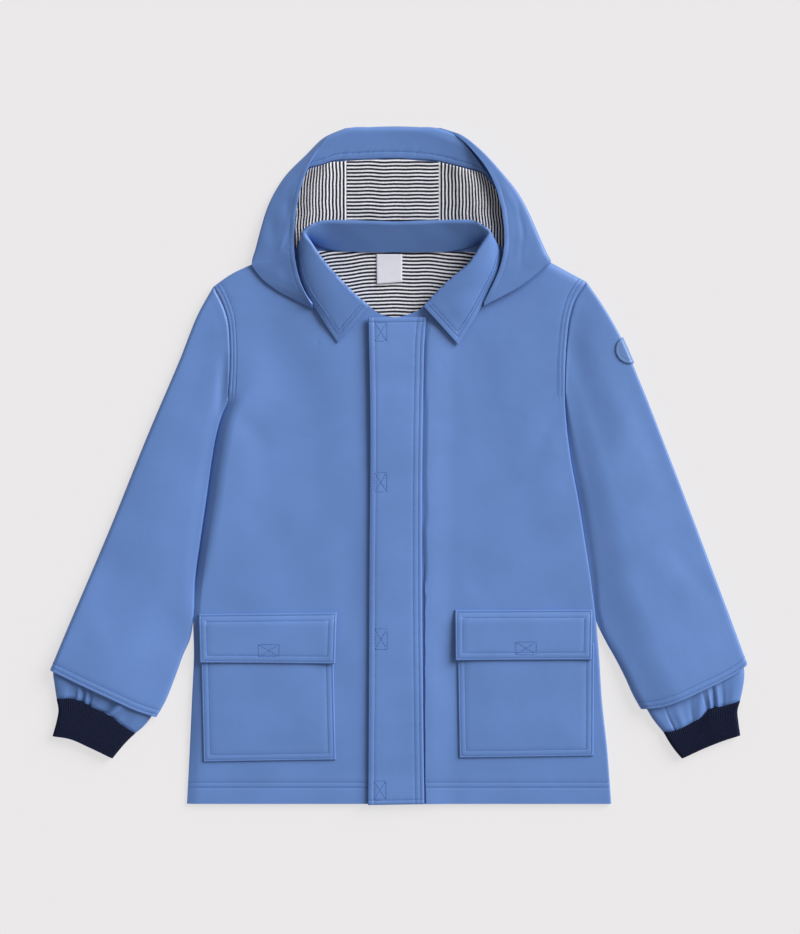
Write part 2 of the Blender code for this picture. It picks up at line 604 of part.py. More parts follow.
def make_rib_cuff(side):
    columns, rows = 2 * RIBS_PER_SIDE + 1, 3
    seam = [(x, y - SEAM) for x, y in RIB_SEAM[side]]
    seam[0], seam[-1] = RIB_OUTER[side][0], RIB_INNER[side][0]
    plan = fill(run(seam, columns), run(RIB_FOOT[side], columns),
                run(RIB_OUTER[side], rows), run(RIB_INNER[side], rows))
    half = CUFF_HEIGHT / 2
    tube(f"rib_cuff_{side}", plan, half + RIB_RELIEF, half, RIB_ROLL, RIB_WALL, "rib_knit",
         ridges=RIB_RELIEF)


def make_badge(sleeve_plan):
    """A round rubber patch, bent round the fold of the sleeve's outer edge.

    The fold is half an ellipse. A point's distance from the patch's middle line, measured over
    the cloth, gives its turn round the fold, and past the fold its distance in over the flat.
    """
    rows, columns = 10, 17
    edge, way = sleeve_plan[::-1, 0], (sleeve_plan[:, 4] - sleeve_plan[:, 0])[::-1]
    way /= np.linalg.norm(way, axis=1, keepdims=True)
    half = CHEST_HEIGHT / 2
    turns = np.linspace(-math.pi / 2, math.pi / 2, 121)
    deep, high = SLEEVE_ROLL * (1 - np.cos(turns)), half * np.sin(turns)
    arc = np.insert(np.cumsum(np.hypot(np.diff(deep), np.diff(high))), 0, 0.0)
    arc -= arc[-1] / 2
    grids = []
    for out in (BADGE_GAP + BADGE_THICK, BADGE_GAP):
        grid = []
        for share in np.linspace(-BADGE_ENDS, BADGE_ENDS, rows):
            y = BADGE_CENTRE[1] + share * BADGE_RADIUS
            x, inward_x, inward_y = (np.interp(y, edge[:, 1], values)
                                     for values in (edge[:, 0], way[:, 0], way[:, 1]))
            around = np.linspace(-1, 1, columns) * BADGE_RADIUS * math.sqrt(1 - share * share)
            turn = np.interp(around, arc, turns)
            over_flat = np.maximum(np.abs(around) - arc[-1], 0)
            far = np.interp(around, arc, deep) + over_flat - out * np.cos(turn)
            z = BADGE_LIFT + half + np.interp(around, arc, high) + out * np.sin(turn)
            grid.append(np.column_stack([x + inward_x * far, y + inward_y * far, z]))
        grids.append(np.array(grid))
    cloth("badge", *grids, "badge_rubber")


# Placket and pockets

def make_placket():
    inset = (0, EASE)
    free, sewn = (run(edge, 9, (*inset, *HEM_ROWS[1:]), inset)
                  for edge in (PLACKET_FREE_EDGE, PLACKET_SEWN_EDGE))
    foot, top = (run([free[i], sewn[i]], 3, inset, inset) for i in (0, -1))
    plan = fill(foot, top, free, sewn)
    laid_on("placket_flap", plan, coat_top(plan) + GAP, PLACKET_THICK)


def make_pocket(side):
    plan = quad(POCKETS[side], 5, 6)
    laid_on(f"pocket_{side}", plan, coat_top(plan) + GAP, POCKET_THICK)
    plan = quad(FLAPS[side], 5, 5)
    below_top = plan[-1:, :, 1] - plan[..., 1]
    climb = (POCKET_THICK + GAP) * ramp(below_top / FLAP_STEP)
    laid_on(f"pocket_flap_{side}", plan, coat_top(plan) + GAP + climb, FLAP_THICK)


# Hood

def hood_section(plan, heights):
    """One section of a hood side: opening edge, crown of the roll, round it, and underneath."""
    outline, edge, under = plan[0:2], plan[2:4], plan[4:6]
    edge_z, crown_z, under_z, radius = heights
    over = (edge - outline) / np.linalg.norm(edge - outline)
    below = (under - outline) / np.linalg.norm(under - outline)
    crown, foot = outline + over * radius, outline + below * radius
    points = [(*(edge + (crown - edge) * share), edge_z + (crown_z - edge_z) * share)
              for share in (0, 0.33, 0.67)]
    for turn in np.linspace(math.pi / 2, -math.pi / 2, 7):
        way = over if turn > 0 else below
        place = outline + way * radius * (1 - math.cos(turn))
        points.append((*place, under_z + (crown_z - under_z) * (1 + math.sin(turn)) / 2))
    points += [(*(foot + (under - foot) * share), under_z) for share in (0.33, 0.67, 1)]
    return points


def make_hood_side(side):
    stations = np.linspace(0, len(HOOD_HEIGHTS) - 1, 20)
    plans = between([(*p.outline, *p.edge, *p.under) for p in HOOD_PLANS[side]], stations)
    heights = between(HOOD_HEIGHTS, stations)
    outer = np.array([hood_section(p, h) for p, h in zip(plans, heights)])
    inner = thickened(outer, -OUTWARDS[side] * WALL)
    on_surface = outer[..., 2] < RESTING
    inner[..., 2] = np.where(on_surface, WALL, inner[..., 2])
    cloth(f"hood_side_{side}", outer, inner)


def make_hood_centre():
    neck = run([(x, y + SEAM) for x, y in BACK_NECK if GUSSET["right"] < x < GUSSET["left"]], 5)
    ends = [(x, neck[i][1] + 2 * SEAM) for x, i in ((GUSSET["right"], 0), (GUSSET["left"], -1))]
    neck = np.array([ends[0], *neck, ends[1]])
    corners = [(x, HOOD_TOP - BRIM_DROP) for x in (GUSSET["right"], GUSSET["left"])]
    brim = run([corners[0], (0.0, HOOD_TOP), corners[1]], len(neck))
    plan = fill(neck, brim, run([neck[0], brim[0]], 6), run([neck[-1], brim[-1]], 6))
    cloth("hood_centre", with_z(plan, WALL), with_z(plan, 0.0))


def make_hood_facing():
    inset = (0, EASE)
    foot, top = (run(edge, 9, inset, inset) for edge in (FACING_FOOT, FACING_TOP))
    first, last = (run([foot[i], top[i]], 3, inset, inset) for i in (0, -1))
    laid_on("hood_facing", fill(foot, top, first, last), WALL + GAP, FACING_THICK)


def under_facing(start_x, end_x, count):
    """A lining's top seam, along the facing's foot from one place to another."""
    places = np.linspace(start_x, end_x, count)
    return np.column_stack([places, np.interp(places, *zip(*FACING_FOOT)) - SEAM])


def make_hood_lining(name, top, first_points):
    """A panel of the striped lining, below its top seam; first_points run up its first side."""
    foot = run([(first_points[0][0], LINING_FOOT), (top[-1][0], LINING_FOOT)], len(top))
    first = run(first_points, 5)
    top[0] = first[-1]
    plan = fill(foot, top, first, run([foot[-1], top[-1]], len(first)))
    base = WALL + GAP
    cloth(name, with_z(plan, base + JERSEY), with_z(plan, base), "striped_jersey")


def make_hood_linings():
    top = under_facing(GUSSET["right"], GUSSET["left"], 7)
    make_hood_lining("hood_lining_centre", top, [(GUSSET["right"], LINING_FOOT), top[0]])
    for side, outer in LINING_OUTER.items():
        seam_x = GUSSET[side] + OUTWARDS[side] * SEAM
        make_hood_lining(f"hood_lining_{side}", under_facing(outer[-1][0], seam_x, 6), outer)


# Collar and neck

def collar_section(row, out):
    """One section of the collar: neck seam, up the stand, over the crest, down to the edge."""
    neck, crest, edge = row[0:2], row[2:4], row[4:6]
    neck_z, crest_z, edge_z, belly = row[6:]
    bend_z = crest_z - CREST_RADIUS
    stand, fall = crest - out * CREST_RADIUS, crest + out * CREST_RADIUS
    points = [(*neck, neck_z), (*((neck + stand) / 2), (neck_z + bend_z) / 2)]
    for turn in np.linspace(math.pi, 0, 5):
        place = crest + out * CREST_RADIUS * math.cos(turn)
        points.append((*place, bend_z + CREST_RADIUS * math.sin(turn)))
    for share in (0.3, 0.65):
        swell = belly * 4 * share * (1 - share)
        place = fall + (edge - fall) * share + out * swell
        points.append((*place, bend_z + (edge_z - bend_z) * share + swell * BELLY_RISE))
    return [*points, (*edge, edge_z)]


def make_collar():
    right, left = ([(*p.neck, *p.crest, *p.edge, *h) for p, h in zip(plans, COLLAR_HEIGHTS)]
                   for plans in COLLAR_PLANS.values())
    rows = right + left[-2::-1]
    sections = between(rows, np.linspace(0, len(rows) - 1, 41))
    along = np.gradient(sections[:, 2:4], axis=0)
    outward = np.stack([-along[:, 1], along[:, 0]], axis=1)
    outward /= np.linalg.norm(outward, axis=1, keepdims=True)
    outer = np.array([collar_section(row, out) for row, out in zip(sections, outward)])
    cloth("collar", outer, thickened(outer, COLLAR_WALL))


def make_back_lining():
    plan = quad(BACK_LINING, 5, 4)
    base = WALL + GAP
    cloth("back_lining", with_z(plan, base + JERSEY), with_z(plan, base), "striped_jersey")


def make_neck_label():
    plan = quad(LABEL, 2, 2, border=1.0)
    laid_on("neck_label", plan, WALL + JERSEY + 2 * GAP, LABEL_THICK, "label_tape")


def centre_on_origin():
    """Parents every piece to the empty "coat", with the middle of the footprint on the origin."""
    pieces = [o for o in bpy.context.scene.objects if o.type == "MESH"]
    corners = np.array([v.co[:] for piece in pieces for v in piece.data.vertices])
    middle = (corners.min(axis=0) + corners.max(axis=0)) / 2
    coat = bpy.data.objects.new("coat", None)
    coat.location = (-middle[0], -middle[1], 0)
    bpy.context.scene.collection.objects.link(coat)
    for piece in pieces:
        piece.parent = coat


def main():
    for old in list(bpy.data.objects):
        bpy.data.objects.remove(old, do_unlink=True)
    make_back()
    sleeve_plans = {}
    for side in OUTWARDS:
        make_front(side)
        sleeve_plans[side] = make_sleeve(side)
        make_inner_cuff(side)
        make_rib_cuff(side)
        make_pocket(side)
        make_hood_side(side)
    make_badge(sleeve_plans[BADGE_SIDE])
    make_placket()
    make_hood_centre()
    make_hood_facing()
    make_hood_linings()
    make_collar()
    make_back_lining()
    make_neck_label()
    centre_on_origin()


main()
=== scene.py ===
"""Looks of the child's raincoat: each cloth piece as a fine shell on its solid's form, with its
creases, seam relief, topstitching and materials, on a pale floor under soft light.

Tables are in millimetres as the coat lies: x runs to the viewer's right from the centre front, y
runs up from the hem to the hood, z runs up from the surface. "right" and "left" are the wearer's.
"""

import math
from collections import namedtuple

import bpy
import numpy as np
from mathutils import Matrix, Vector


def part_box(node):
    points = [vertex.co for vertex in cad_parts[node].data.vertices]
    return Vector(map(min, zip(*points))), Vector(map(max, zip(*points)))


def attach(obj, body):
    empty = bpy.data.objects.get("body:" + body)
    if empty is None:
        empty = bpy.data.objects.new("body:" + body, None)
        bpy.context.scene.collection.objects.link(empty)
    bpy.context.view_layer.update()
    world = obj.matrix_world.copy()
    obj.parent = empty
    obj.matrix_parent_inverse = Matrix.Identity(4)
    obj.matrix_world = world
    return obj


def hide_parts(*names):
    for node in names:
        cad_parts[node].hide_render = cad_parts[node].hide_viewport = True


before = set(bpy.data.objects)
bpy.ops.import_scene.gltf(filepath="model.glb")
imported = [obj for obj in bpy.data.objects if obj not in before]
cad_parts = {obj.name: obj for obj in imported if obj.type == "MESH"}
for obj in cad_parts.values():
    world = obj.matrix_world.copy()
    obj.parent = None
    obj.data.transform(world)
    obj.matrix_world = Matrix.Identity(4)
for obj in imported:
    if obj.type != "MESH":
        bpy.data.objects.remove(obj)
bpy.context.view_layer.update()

MM = 0.001

# Driving dimensions, as in the solids
WALL = 1.6            # coated cloth with its jersey lining
JERSEY = 1.0
GAP = 0.3             # between pieces that touch
SEAM = 0.5            # between sewn edges, across the seam
SLEEVE_CLEAR = -0.2
SLEEVE_FREE = 160.0   # above this height a sleeve lies along the side
COAT_LENGTH = 461.5
HEM_HEIGHT = 4.2
CHEST_HEIGHT = 7.0
HEM_RISE = 90.0
UNDERARM = 383.0
CENTRE_FRONT = -1.0
OUTWARDS = {"right": -1, "left": 1}
SLEEVE_END_HEIGHT = 12.0
SLEEVE_FILLS_FROM = 0.7
CUFF_WALL = 1.4
CUFF_HEIGHT = 7.0
CUFF_ROLL = 7.0
CUFF_CLEAR = 0.7
CUFF_DROP = 1.6
RIB_WALL = 2.0
RIB_ROLL = 4.0
RIB_BASE = 0.6
RIB_CLEAR = 0.05
PLACKET_THICK = 2.4
POCKET_THICK = 1.6
FLAP_THICK = 1.8
GUSSET = {"right": -49.4, "left": 38.1}
HOOD_TOP = 643.0
HOOD_FULL = 7         # station at which a hood side reaches its full height
HOOD_BLUNT = 14       # how square the fold of a hood side is
SHOULDER_HEIGHT = 7.6      # of what a hood side lies on at the neck
HOOD_FACE = 25        # points of a hood section from its opening edge to its outline
BRIM_DROP = 1.4
FACING_THICK = 1.4
LINING_HALF = 122.0   # from the centre front to where the hood lining ends at the neck
CREST_RADIUS = 0.3
COLLAR_OVER = 14      # the point of a collar section at which it is over the crest
BELLY_RISE = 0.6
COLLAR_WALL = 1.0
LABEL_THICK = 0.7
BADGE_SIDE = "left"
BADGE_RADIUS = 13.6
BADGE_THICK = 1.3
BADGE_GAP = 0.45
BADGE_ENDS = 0.985
BADGE_HEIGHT = 430.0  # up the coat, of its centre
BADGE_LIFT = 1.9
LIFT_ALONG = 75.0
LIFT_ACROSS = 70.0
LIFT_FADE = 40.0

# What the solids leave out: relief, rounded folds and thread

UNDERARM_BLEND = 16.0      # length over which a side seam turns into an armhole
# Widths over which the coat's sides round over, by height up the coat
SIDE_ROLLS = {
    "right": [(0, 9.5), (150, 9.5), (184, 7), (203, 8), (240, 11), (280, 13), (330, 14.5)],
    "left": [(0, 0.9)],
}
SIDE_BLUNT = 1.15          # how the fronts curve there: 1 is a straight slope, 2 a quarter round
BESIDE_SLEEVE = (186.0, 45.0)  # where a sleeve begins to lie along a side, and over what length
# There, how far a side's fold lies below half the height, and how far the front falls away to it
SIDE_DROP = {"right": 2.0, "left": 0.0}
SIDE_EASE = {"right": 0.6, "left": 0.0}
EASE_WIDTH = 12.0
# How far the front stands up beside a sleeve, and how far inwards that reaches
SIDE_STAND = {"right": 4.2, "left": 0.0}
STAND_WIDTH = 85.0
# Heights from which it rises and at which it has sunk, each with the length that this takes
STAND_FOOT = (184.0, 60.0)
STAND_TOP = (450.0, 110.0)
# Height from which it keeps off the armhole, the length that this takes, and how far off it keeps
STAND_SEAM = (358.0, 45.0, 32.0)
SHOULDER_BLEND = 8.0       # width over which a shoulder seam turns into the neck seam
SHOULDER_ROLL = 6.0
SLEEVE_OUTER_ROLL = {"right": 4.5, "left": 2.4}
SLEEVE_INNER_ROLL = {"right": 2.5, "left": 9.0}
VALLEY_DEPTH = {"right": 0.9, "left": 1.7}    # of the sleeves beside the coat
EASE = 1.3            # a laid-on piece rounds over its border in this width
BORDER_SHARE = 0.3
MAX_STEP = 3.0        # between points of a grid beside its edges
MIN_STEP = 0.2
BORDER_POINTS = (0.0, 0.3, 0.75, 1.3)   # distances from an edge where a grid needs points
LINE_POINTS = (-1.0, -0.45, 0, 0.45, 1.0)    # and from a line of stitching
# From the centre front, with more at the placket's seam
CENTRE_POINTS = {"right": (0,), "left": (0, 10, 20, 23.4, *np.arange(24.2, 29, 0.55), 30.5, 34)}
SHOULDER_POINTS = 14
GROOVE = 0.24         # depth and half-width of the line that stitching draws into the cloth
GROOVE_WIDTH = 0.55
SWELL = 0.13          # height of the cloth between an edge and its stitching
PUCKER = 0.10         # unevenness along a seam
PUCKER_WIDTH = 4.5
PUCKER_WAVES = (6.1, 9.7, 15.3)
FRONT_SEEDS = {"right": 1.0, "left": 2.0}
ARMHOLE_SINK = 0.8    # depth of the coat at its armhole seam
ARMHOLE_LINES = (3.8, 7.4)     # distances of topstitching from the edges it follows
COAT_HEM_LINES = (15.7, 20.6)
SLEEVE_HEM_LINES = (2.6, 7.4)
COLLAR_LINES = (4.6, 7.4)
PLACKET_FREE_LINES = (1.6, 6.1)
PLACKET_SEWN_LINES = (3.6, 8.4)
PLACKET_END_LINE = 4.6
POCKET_LINES = (2.0, 6.8)
FLAP_LINES = (2.2, 7.4)
FACING_LINE = 6.8
BRIM_RISE = 4.0       # of the facing towards the hood's brim
HOOD_EDGE_LINE = 4.2
HOOD_FOLD = 1.5       # radius of the fold at the hood's outline
HOOD_RIM = 0.4        # least height of a hood side's face over its fold
NEAR_FOLD = (0, 0.4, 0.9, 1.5, 2.3)     # distances from that fold where a section needs points
RIB_RELIEF = 0.55
RIBS = 45             # across a cuff as it lies
RIB_POINTS = 6
# Height, half-width and distance from the edge of raised and sunk rings
BADGE_RINGS = [(0.2, 0.7, 1.5), (0.1, 0.5, 5.2)]
JOINT_RINGS = [(0.25, 2.2, 3.5), (-1.0, 1.3, 0)]    # of a sleeve, from its armhole
PLACKET_STANDS = [(0, 1.3), (100, 1.2), (200, 0.7), (300, 1.1), (364, 2.6), (461, 3.4)]
PLACKET_SPREAD = 48.0
SEWN_RISE = 2.0       # how far the front stands up beside the placket's seam
SEWN_SPREAD = 30.0
FLAP_STAND = 0.7      # of a pocket flap's lower edge, with more at its corners
FLAP_CORNER = 1.2
POCKET_BELLY = 0.5
POCKET_SPREAD = 34.0
FLAP_STEP = 12.0      # length over which a flap climbs from the front onto its pocket
BOX_REACH = 1.1       # how far a crossed box marks the cloth, where 1 is its edge
BOX_GROOVE = 0.7      # half-width of its lines
BOX_POINTS = 12
GATHERED = (0.15, 0.8)     # shares of an inner cuff between which its gathers rise
CUFF_SINK = 0.9       # of an inner cuff at the seam to the rib
DOME_BLUNT = 1.2      # how a sleeve falls from its crest: 1 is a straight slope
DOME_STARTS = 0.45    # share of its length over which it rises
BACK_FOLLOWS = 0.5    # share of its front's gathers that a cuff's back has
LINING_STAND = 0.6    # of the hood lining, and how far its side panels bulge and its tuck rises
LINING_BULGE = 4.4
TUCK_HEIGHT = 1.6
TUCK_WIDTH = 2.2
TUCK_AT = 549.0       # up the coat
STRIPE_ARCH = 3.4     # how far the back lining's stripes rise at this distance from the middle
ARCH_HALF = 62.0
LABEL_STAND = 0.35    # of the neck label, and how far its foot bows up from there
LABEL_BOW = 0.35
STITCH_PITCH = 2.9
STITCH_GAP = 0.6
STITCH_LIFT = 0.1
THREAD_RADIUS = 0.27
STRIPE_PITCH = 3.46
RESTING = 1e-6        # what lies lower than this rests on the surface
SHARP = math.radians(60)

# Linear colours
FABRIC = (0.108, 0.212, 0.500)
THREAD = (0.070, 0.150, 0.385)
STRIPE_WHITE = (0.78, 0.78, 0.82)
STRIPE_NAVY = (0.012, 0.012, 0.024)
RIB = (0.0120, 0.0158, 0.0395)
LABEL_WHITE = (0.70, 0.70, 0.775)
BADGE_BLUE = (0.112, 0.208, 0.450)
FLOOR = (0.80, 0.785, 0.793)
FLOOR_GLOW = 0.8           # share of the floor's brightness that is its own
OPEN_LIGHT = 1.03          # brightness of a white surface that lies open to the light

# Studio
SKY = (1.0, 1.0, 1.0)
SKY_STRENGTH = 0.34
KEY_STRENGTH = 4.4
KEY_ANGLE = 40.0           # across the lamp as the coat sees it
KEY_AZIMUTH = 35.0         # from the viewer's right
KEY_ELEVATION = 30.0
FLOOR_SIZE = 12.0
FLOOR_DROP = 0.0003
SENSOR = 36.0
CAMERA_HEIGHT = 3.0
FRAME_HEIGHT = 0.8873      # that the view takes in, at the height of the coat
CAMERA_AT = (0.0013, -0.0014)

# Side seams and armholes, from the hem up
SIDES = {
    "right": [(-200.8, 0), (-198.2, 50), (-195.9, 100), (-194.1, 145), (-194.8, 175), (-193, 212),
              (-188, 250), (-182.2, 290), (-177.2, 326), (-174, 345), (-168.6, 366),
              (-161.6, 383)],
    "left": [(202, 0), (198.2, 50), (192.9, 100), (190, 145), (187.2, 175), (182.6, 212),
             (177, 250), (170.6, 290), (163.8, 326), (161.2, 345), (159.2, 366), (158.2, 383)],
}
ARMHOLES = {
    "right": [(-161.6, 383), (-160, 411), (-160, 436), (-162.2, 460), (-168.5, 478),
              (-175.5, 490.8)],
    "left": [(158.2, 383), (158.2, 415), (159.6, 440), (163.2, 465), (168.6, 481), (178.1, 495.4)],
}
SHOULDERS = {
    "right": [(-175.5, 490.8), (-160, 501.8), (-139, 512), (-110, 524.4), (-82, 536)],
    "left": [(178.1, 495.4), (163, 503.5), (144, 513.8), (110, 527.5), (78.5, 537.5)],
}
BACK_NECK = [
    (-82, 536), (-73, 532), (-60, 527.3), (-40, 523.5), (0, 523), (40, 523.5), (58, 527.6),
    (70, 532), (78.5, 537.5),
]
CENTRE_NECK = {
    "right": [(-38, 478.5), (-27.5, 471.8), (-14, 463.2)],
    "left": [(32, 477.5), (22.8, 470.4), (11, 464.6)],
}

# Sleeves: outer edge below the armhole, inner edge below the side, hem from outer to inner
SLEEVE_OUTER = {
    "right": [(-188.6, 468), (-207.6, 421.3), (-236, 354.8), (-274, 260.8), (-318.7, 155.3),
              (-330.3, 127.3)],
    "left": [(191.4, 476.4), (209, 446.5), (229.4, 399.5), (257.9, 327.3), (283.6, 259.8),
             (322.5, 155.3), (330.6, 133)],
}
SLEEVE_INNER_FREE = {
    "right": [(-198.4, 154.4), (-203.2, 143.9), (-212.6, 118.3), (-222, 95.5), (-229.4, 82.7)],
    "left": [(196.5, 154.4), (205.8, 137.8), (215.2, 119.2), (223, 102), (229.8, 90.2)],
}
SLEEVE_HEM = {
    "right": [(-330.3, 127.3), (-302.6, 114), (-274, 100.7), (-245.6, 87.9), (-229.4, 82.7)],
    "left": [(330.6, 133), (321.6, 125.4), (305.4, 116.4), (286.4, 107.4), (267.4, 98.8),
             (248.4, 92.2), (229.8, 90.2)],
}

# Inner cuffs: top is inside the sleeve, foot is the seam to the rib, from which its edges run on
CUFF_TOP = {
    "right": [(-321, 140.5), (-292, 128), (-262, 113.5), (-226.5, 99.5)],
    "left": [(321.4, 144.5), (294, 129), (262, 115), (225.5, 105.5)],
}
CUFF_OUTER = {
    "right": [(-321, 140.5), (-327.4, 126), (-326.3, 114), (-324.4, 99.6)],
    "left": [(321.4, 144.5), (327.4, 130), (326.3, 108), (324.2, 97.9)],
}
CUFF_INNER = {
    "right": [(-226.5, 99.5), (-234.2, 83), (-241.8, 73.6), (-249.6, 67)],
    "left": [(225.5, 105.5), (235.1, 90.5), (240.8, 81.2), (251.5, 67.8)],
}
RIB_SEAM = {
    "right": [(-324.4, 99.6), (-312, 100.4), (-302.6, 98.4), (-288, 91), (-274, 84.2),
              (-260, 73.6), (-249.6, 67)],
    "left": [(324.2, 97.9), (309, 93.4), (294, 89.6), (288.3, 83.6), (276.9, 76.6), (263.6, 70.4),
             (251.5, 67.8)],
}
RIB_OUTER = {
    "right": [(-322.6, 88.8), (-324, 80), (-328.2, 64.4)],
    "left": [(321.6, 87.9), (322.3, 79.3), (324.3, 65.2)],
}
RIB_FOOT = {
    "right": [(-328.2, 64.4), (-312, 61.8), (-293, 53.7), (-271.2, 43.2)],
    "left": [(324.3, 65.2), (310.2, 60.8), (293, 54.2), (268.8, 43.2)],
}
RIB_INNER = {
    "right": [(-257.4, 59.6), (-264.8, 51.2), (-271.2, 43.2)],
    "left": [(257, 58.4), (262.6, 50.4), (268.8, 43.2)],
}
# Gathers of an inner cuff: place across it (outer edge 0, inner edge 1), half-width, height, slant
GATHERS = {
    "right": [(0.09, 0.045, 0.8, 0.06), (0.24, 0.026, 1.9, 0.04), (0.295, 0.014, -1.6, 0.03),
              (0.34, 0.02, 1.3, 0.01), (0.385, 0.018, -1.7, 0), (0.46, 0.04, 0.9, 0.14),
              (0.575, 0.026, -2, 0.1), (0.64, 0.036, 2.6, 0.12), (0.76, 0.05, 0.7, -0.06),
              (0.9, 0.045, 0.5, -0.04)],
    "left": [(0.1, 0.05, 0.7, 0.03), (0.21, 0.02, -0.7, 0.05), (0.27, 0.022, 1.4, 0.05),
             (0.32, 0.012, -1.3, 0.03), (0.36, 0.02, 1.5, 0.05), (0.41, 0.014, -0.9, 0.06),
             (0.54, 0.05, 1.1, -0.14), (0.64, 0.028, -0.7, -0.12), (0.76, 0.045, 0.9, -0.05),
             (0.87, 0.014, -0.8, -0.06)],
}

# Corners of laid-on pieces: outer foot, inner foot, inner top, outer top
POCKETS = {
    "right": [(-184.9, 40), (-59.4, 41.9), (-61.9, 152), (-187.3, 152)],
    "left": [(184.8, 45.6), (57.5, 43.7), (55.6, 153), (185.3, 153)],
}
FLAPS = {
    "right": [(-188.1, 134.2), (-59.9, 133.2), (-58.4, 181.9), (-189.5, 180.5)],
    "left": [(182.9, 137), (53.7, 136.3), (53.2, 184.3), (183.8, 184.8)],
}
BACK_LINING = [(-96, 438), (92, 438), (74.5, 523.5), (-77.5, 524.5)]
LABEL = [(-20.6, 493.2), (3.5, 495), (3.6, 521.6), (-21, 521.6)]
PLACKET_FREE_EDGE = [(-29, -0.9), (-28.4, 100), (-28, 203), (-27.4, 402), (-28.8, 461.2)]
PLACKET_SEWN_EDGE = [(24.6, -0.2), (23.8, 60), (23.8, 400), (24.8, 440), (26.6, 462)]

# Hood sides, from the brim's corner round to the front of the neck. Each section runs from the
# opening edge, over the outline's fold, and back underneath to its under end.
# Heights of the opening edge and of the under end
HOOD_HEIGHTS = [
    (4.7, 0), (5.6, 0), (8.4, 0), (12.2, 0), (15.2, 0), (16.2, 0), (17, 0), (17.6, 0), (17.6, 2.4),
    (17.4, 7.6), (16.8, 7.6), (16, 7.6), (15.2, 7.6), (13.6, 7.6),
]
# x and y of the outline, of the opening edge and of the under end
HOOD_PLANS = {
    "right": [(-50, 641.6, -51, 639.2, -49.8, 639), (-69.5, 633.2, -67.4, 630.8, -49.8, 622),
              (-88, 615.8, -81.2, 614, -49.8, 596), (-108, 595.2, -89.2, 596, -49.8, 566),
              (-121, 573.5, -95, 575, -49.8, 526), (-126.2, 560.5, -97, 562.5, -66, 528.6),
              (-130.2, 547, -98.4, 550, -83, 539), (-136, 524.8, -99.2, 531, -110, 533),
              (-138.4, 517, -98.8, 524, -112, 525), (-139, 511.5, -98.4, 518.5, -108, 518),
              (-131, 499.5, -96.6, 508, -88, 516), (-115.5, 487, -93.4, 496, -77, 503),
              (-97.5, 477.4, -88.4, 483.6, -67, 493), (-81.6, 469.4, -82.2, 473.4, -62, 484)],
    "left": [(39, 641.6, 40, 639.2, 38.6, 639), (58.5, 634.9, 56.6, 632.2, 38.6, 622),
             (78, 620, 72.2, 617, 38.6, 598), (96, 600.5, 84.6, 600.4, 38.6, 568),
             (111, 582.2, 92.6, 582.4, 38.6, 526), (118, 571, 95.6, 571.4, 61, 528.6),
             (123.8, 559.5, 98.2, 560, 79.6, 542), (135.8, 532, 100.2, 537, 112, 535),
             (140.6, 521.5, 99.6, 527, 114, 527), (144, 513.8, 98.8, 520, 112, 521),
             (135.2, 505.6, 96.6, 511, 86, 517), (118, 491.8, 92.2, 499, 77, 504),
             (97, 480, 86.2, 486, 66, 493.5), (81, 472, 81, 476, 61, 485)],
}
# The share of its height that a hood side's opening edge has above and below, how far its face
# falls from there to the outline, and how soon it rises from the brim: 1 would be evenly
HoodShape = namedtuple("HoodShape", "above below fall soon")
HOOD_SHAPES = {"right": HoodShape(0.93, 1.14, 9.6, 1.0), "left": HoodShape(1.0, 1.0, -0.3, 2.0)}
FACING_FOOT = [
    (-91, 600), (-85, 603.6), (-74.5, 606), (-64, 609.6), (-36.5, 611.5), (1.5, 612.4),
    (39.5, 609.5), (63, 603.8), (80, 599.2), (87, 595),
]
FACING_TOP = [
    (-68.5, 632.6), (-60.5, 636.6), (-50, 640.8), (-20, 642.2), (10, 642.2), (39.5, 640.9),
    (49.5, 637.6), (57.6, 634.2),
]
# Outer edges of the hood lining's side panels above the neck, inside the roll of the hood
LINING_OUTER = {
    "right": [(-118, 540), (-109.5, 558), (-106, 573), (-95, 592), (-84.6, 602.8)],
    "left": [(116, 541), (105.5, 558), (99, 573), (88.5, 588), (79.4, 598.4)],
}
# The hood lining's seam to the neck, hidden behind the collar
LINING_NECK = [
    (-122, 520.5), (-106, 525.5), (-96, 527.5), (-83, 534.5), (-49, 541), (38, 541), (80, 535.5),
    (93, 529.5), (104, 527.5), (122, 523),
]

# Collar, from its front end round to the centre back. Each section runs from the neck seam up the
# stand, over the crest and down the fall to its free edge.
# Heights of the neck seam, crest and free edge, and how far the fall bellies out
COLLAR_HEIGHTS = [
    (8.9, 13.6, 8.8, 1), (8.9, 15.6, 9, 1.4), (8.9, 17.8, 9.8, 1.8), (8.9, 19.8, 10.2, 2),
    (8.9, 21.6, 10.8, 2), (8.9, 23.2, 11.6, 1.6), (8, 24, 10.5, 0.4), (5, 24, 7, 0.4),
    (4, 22.5, 3.6, 2.4), (4, 21, 3.4, 2.8), (4, 20, 3.4, 2.8),
]
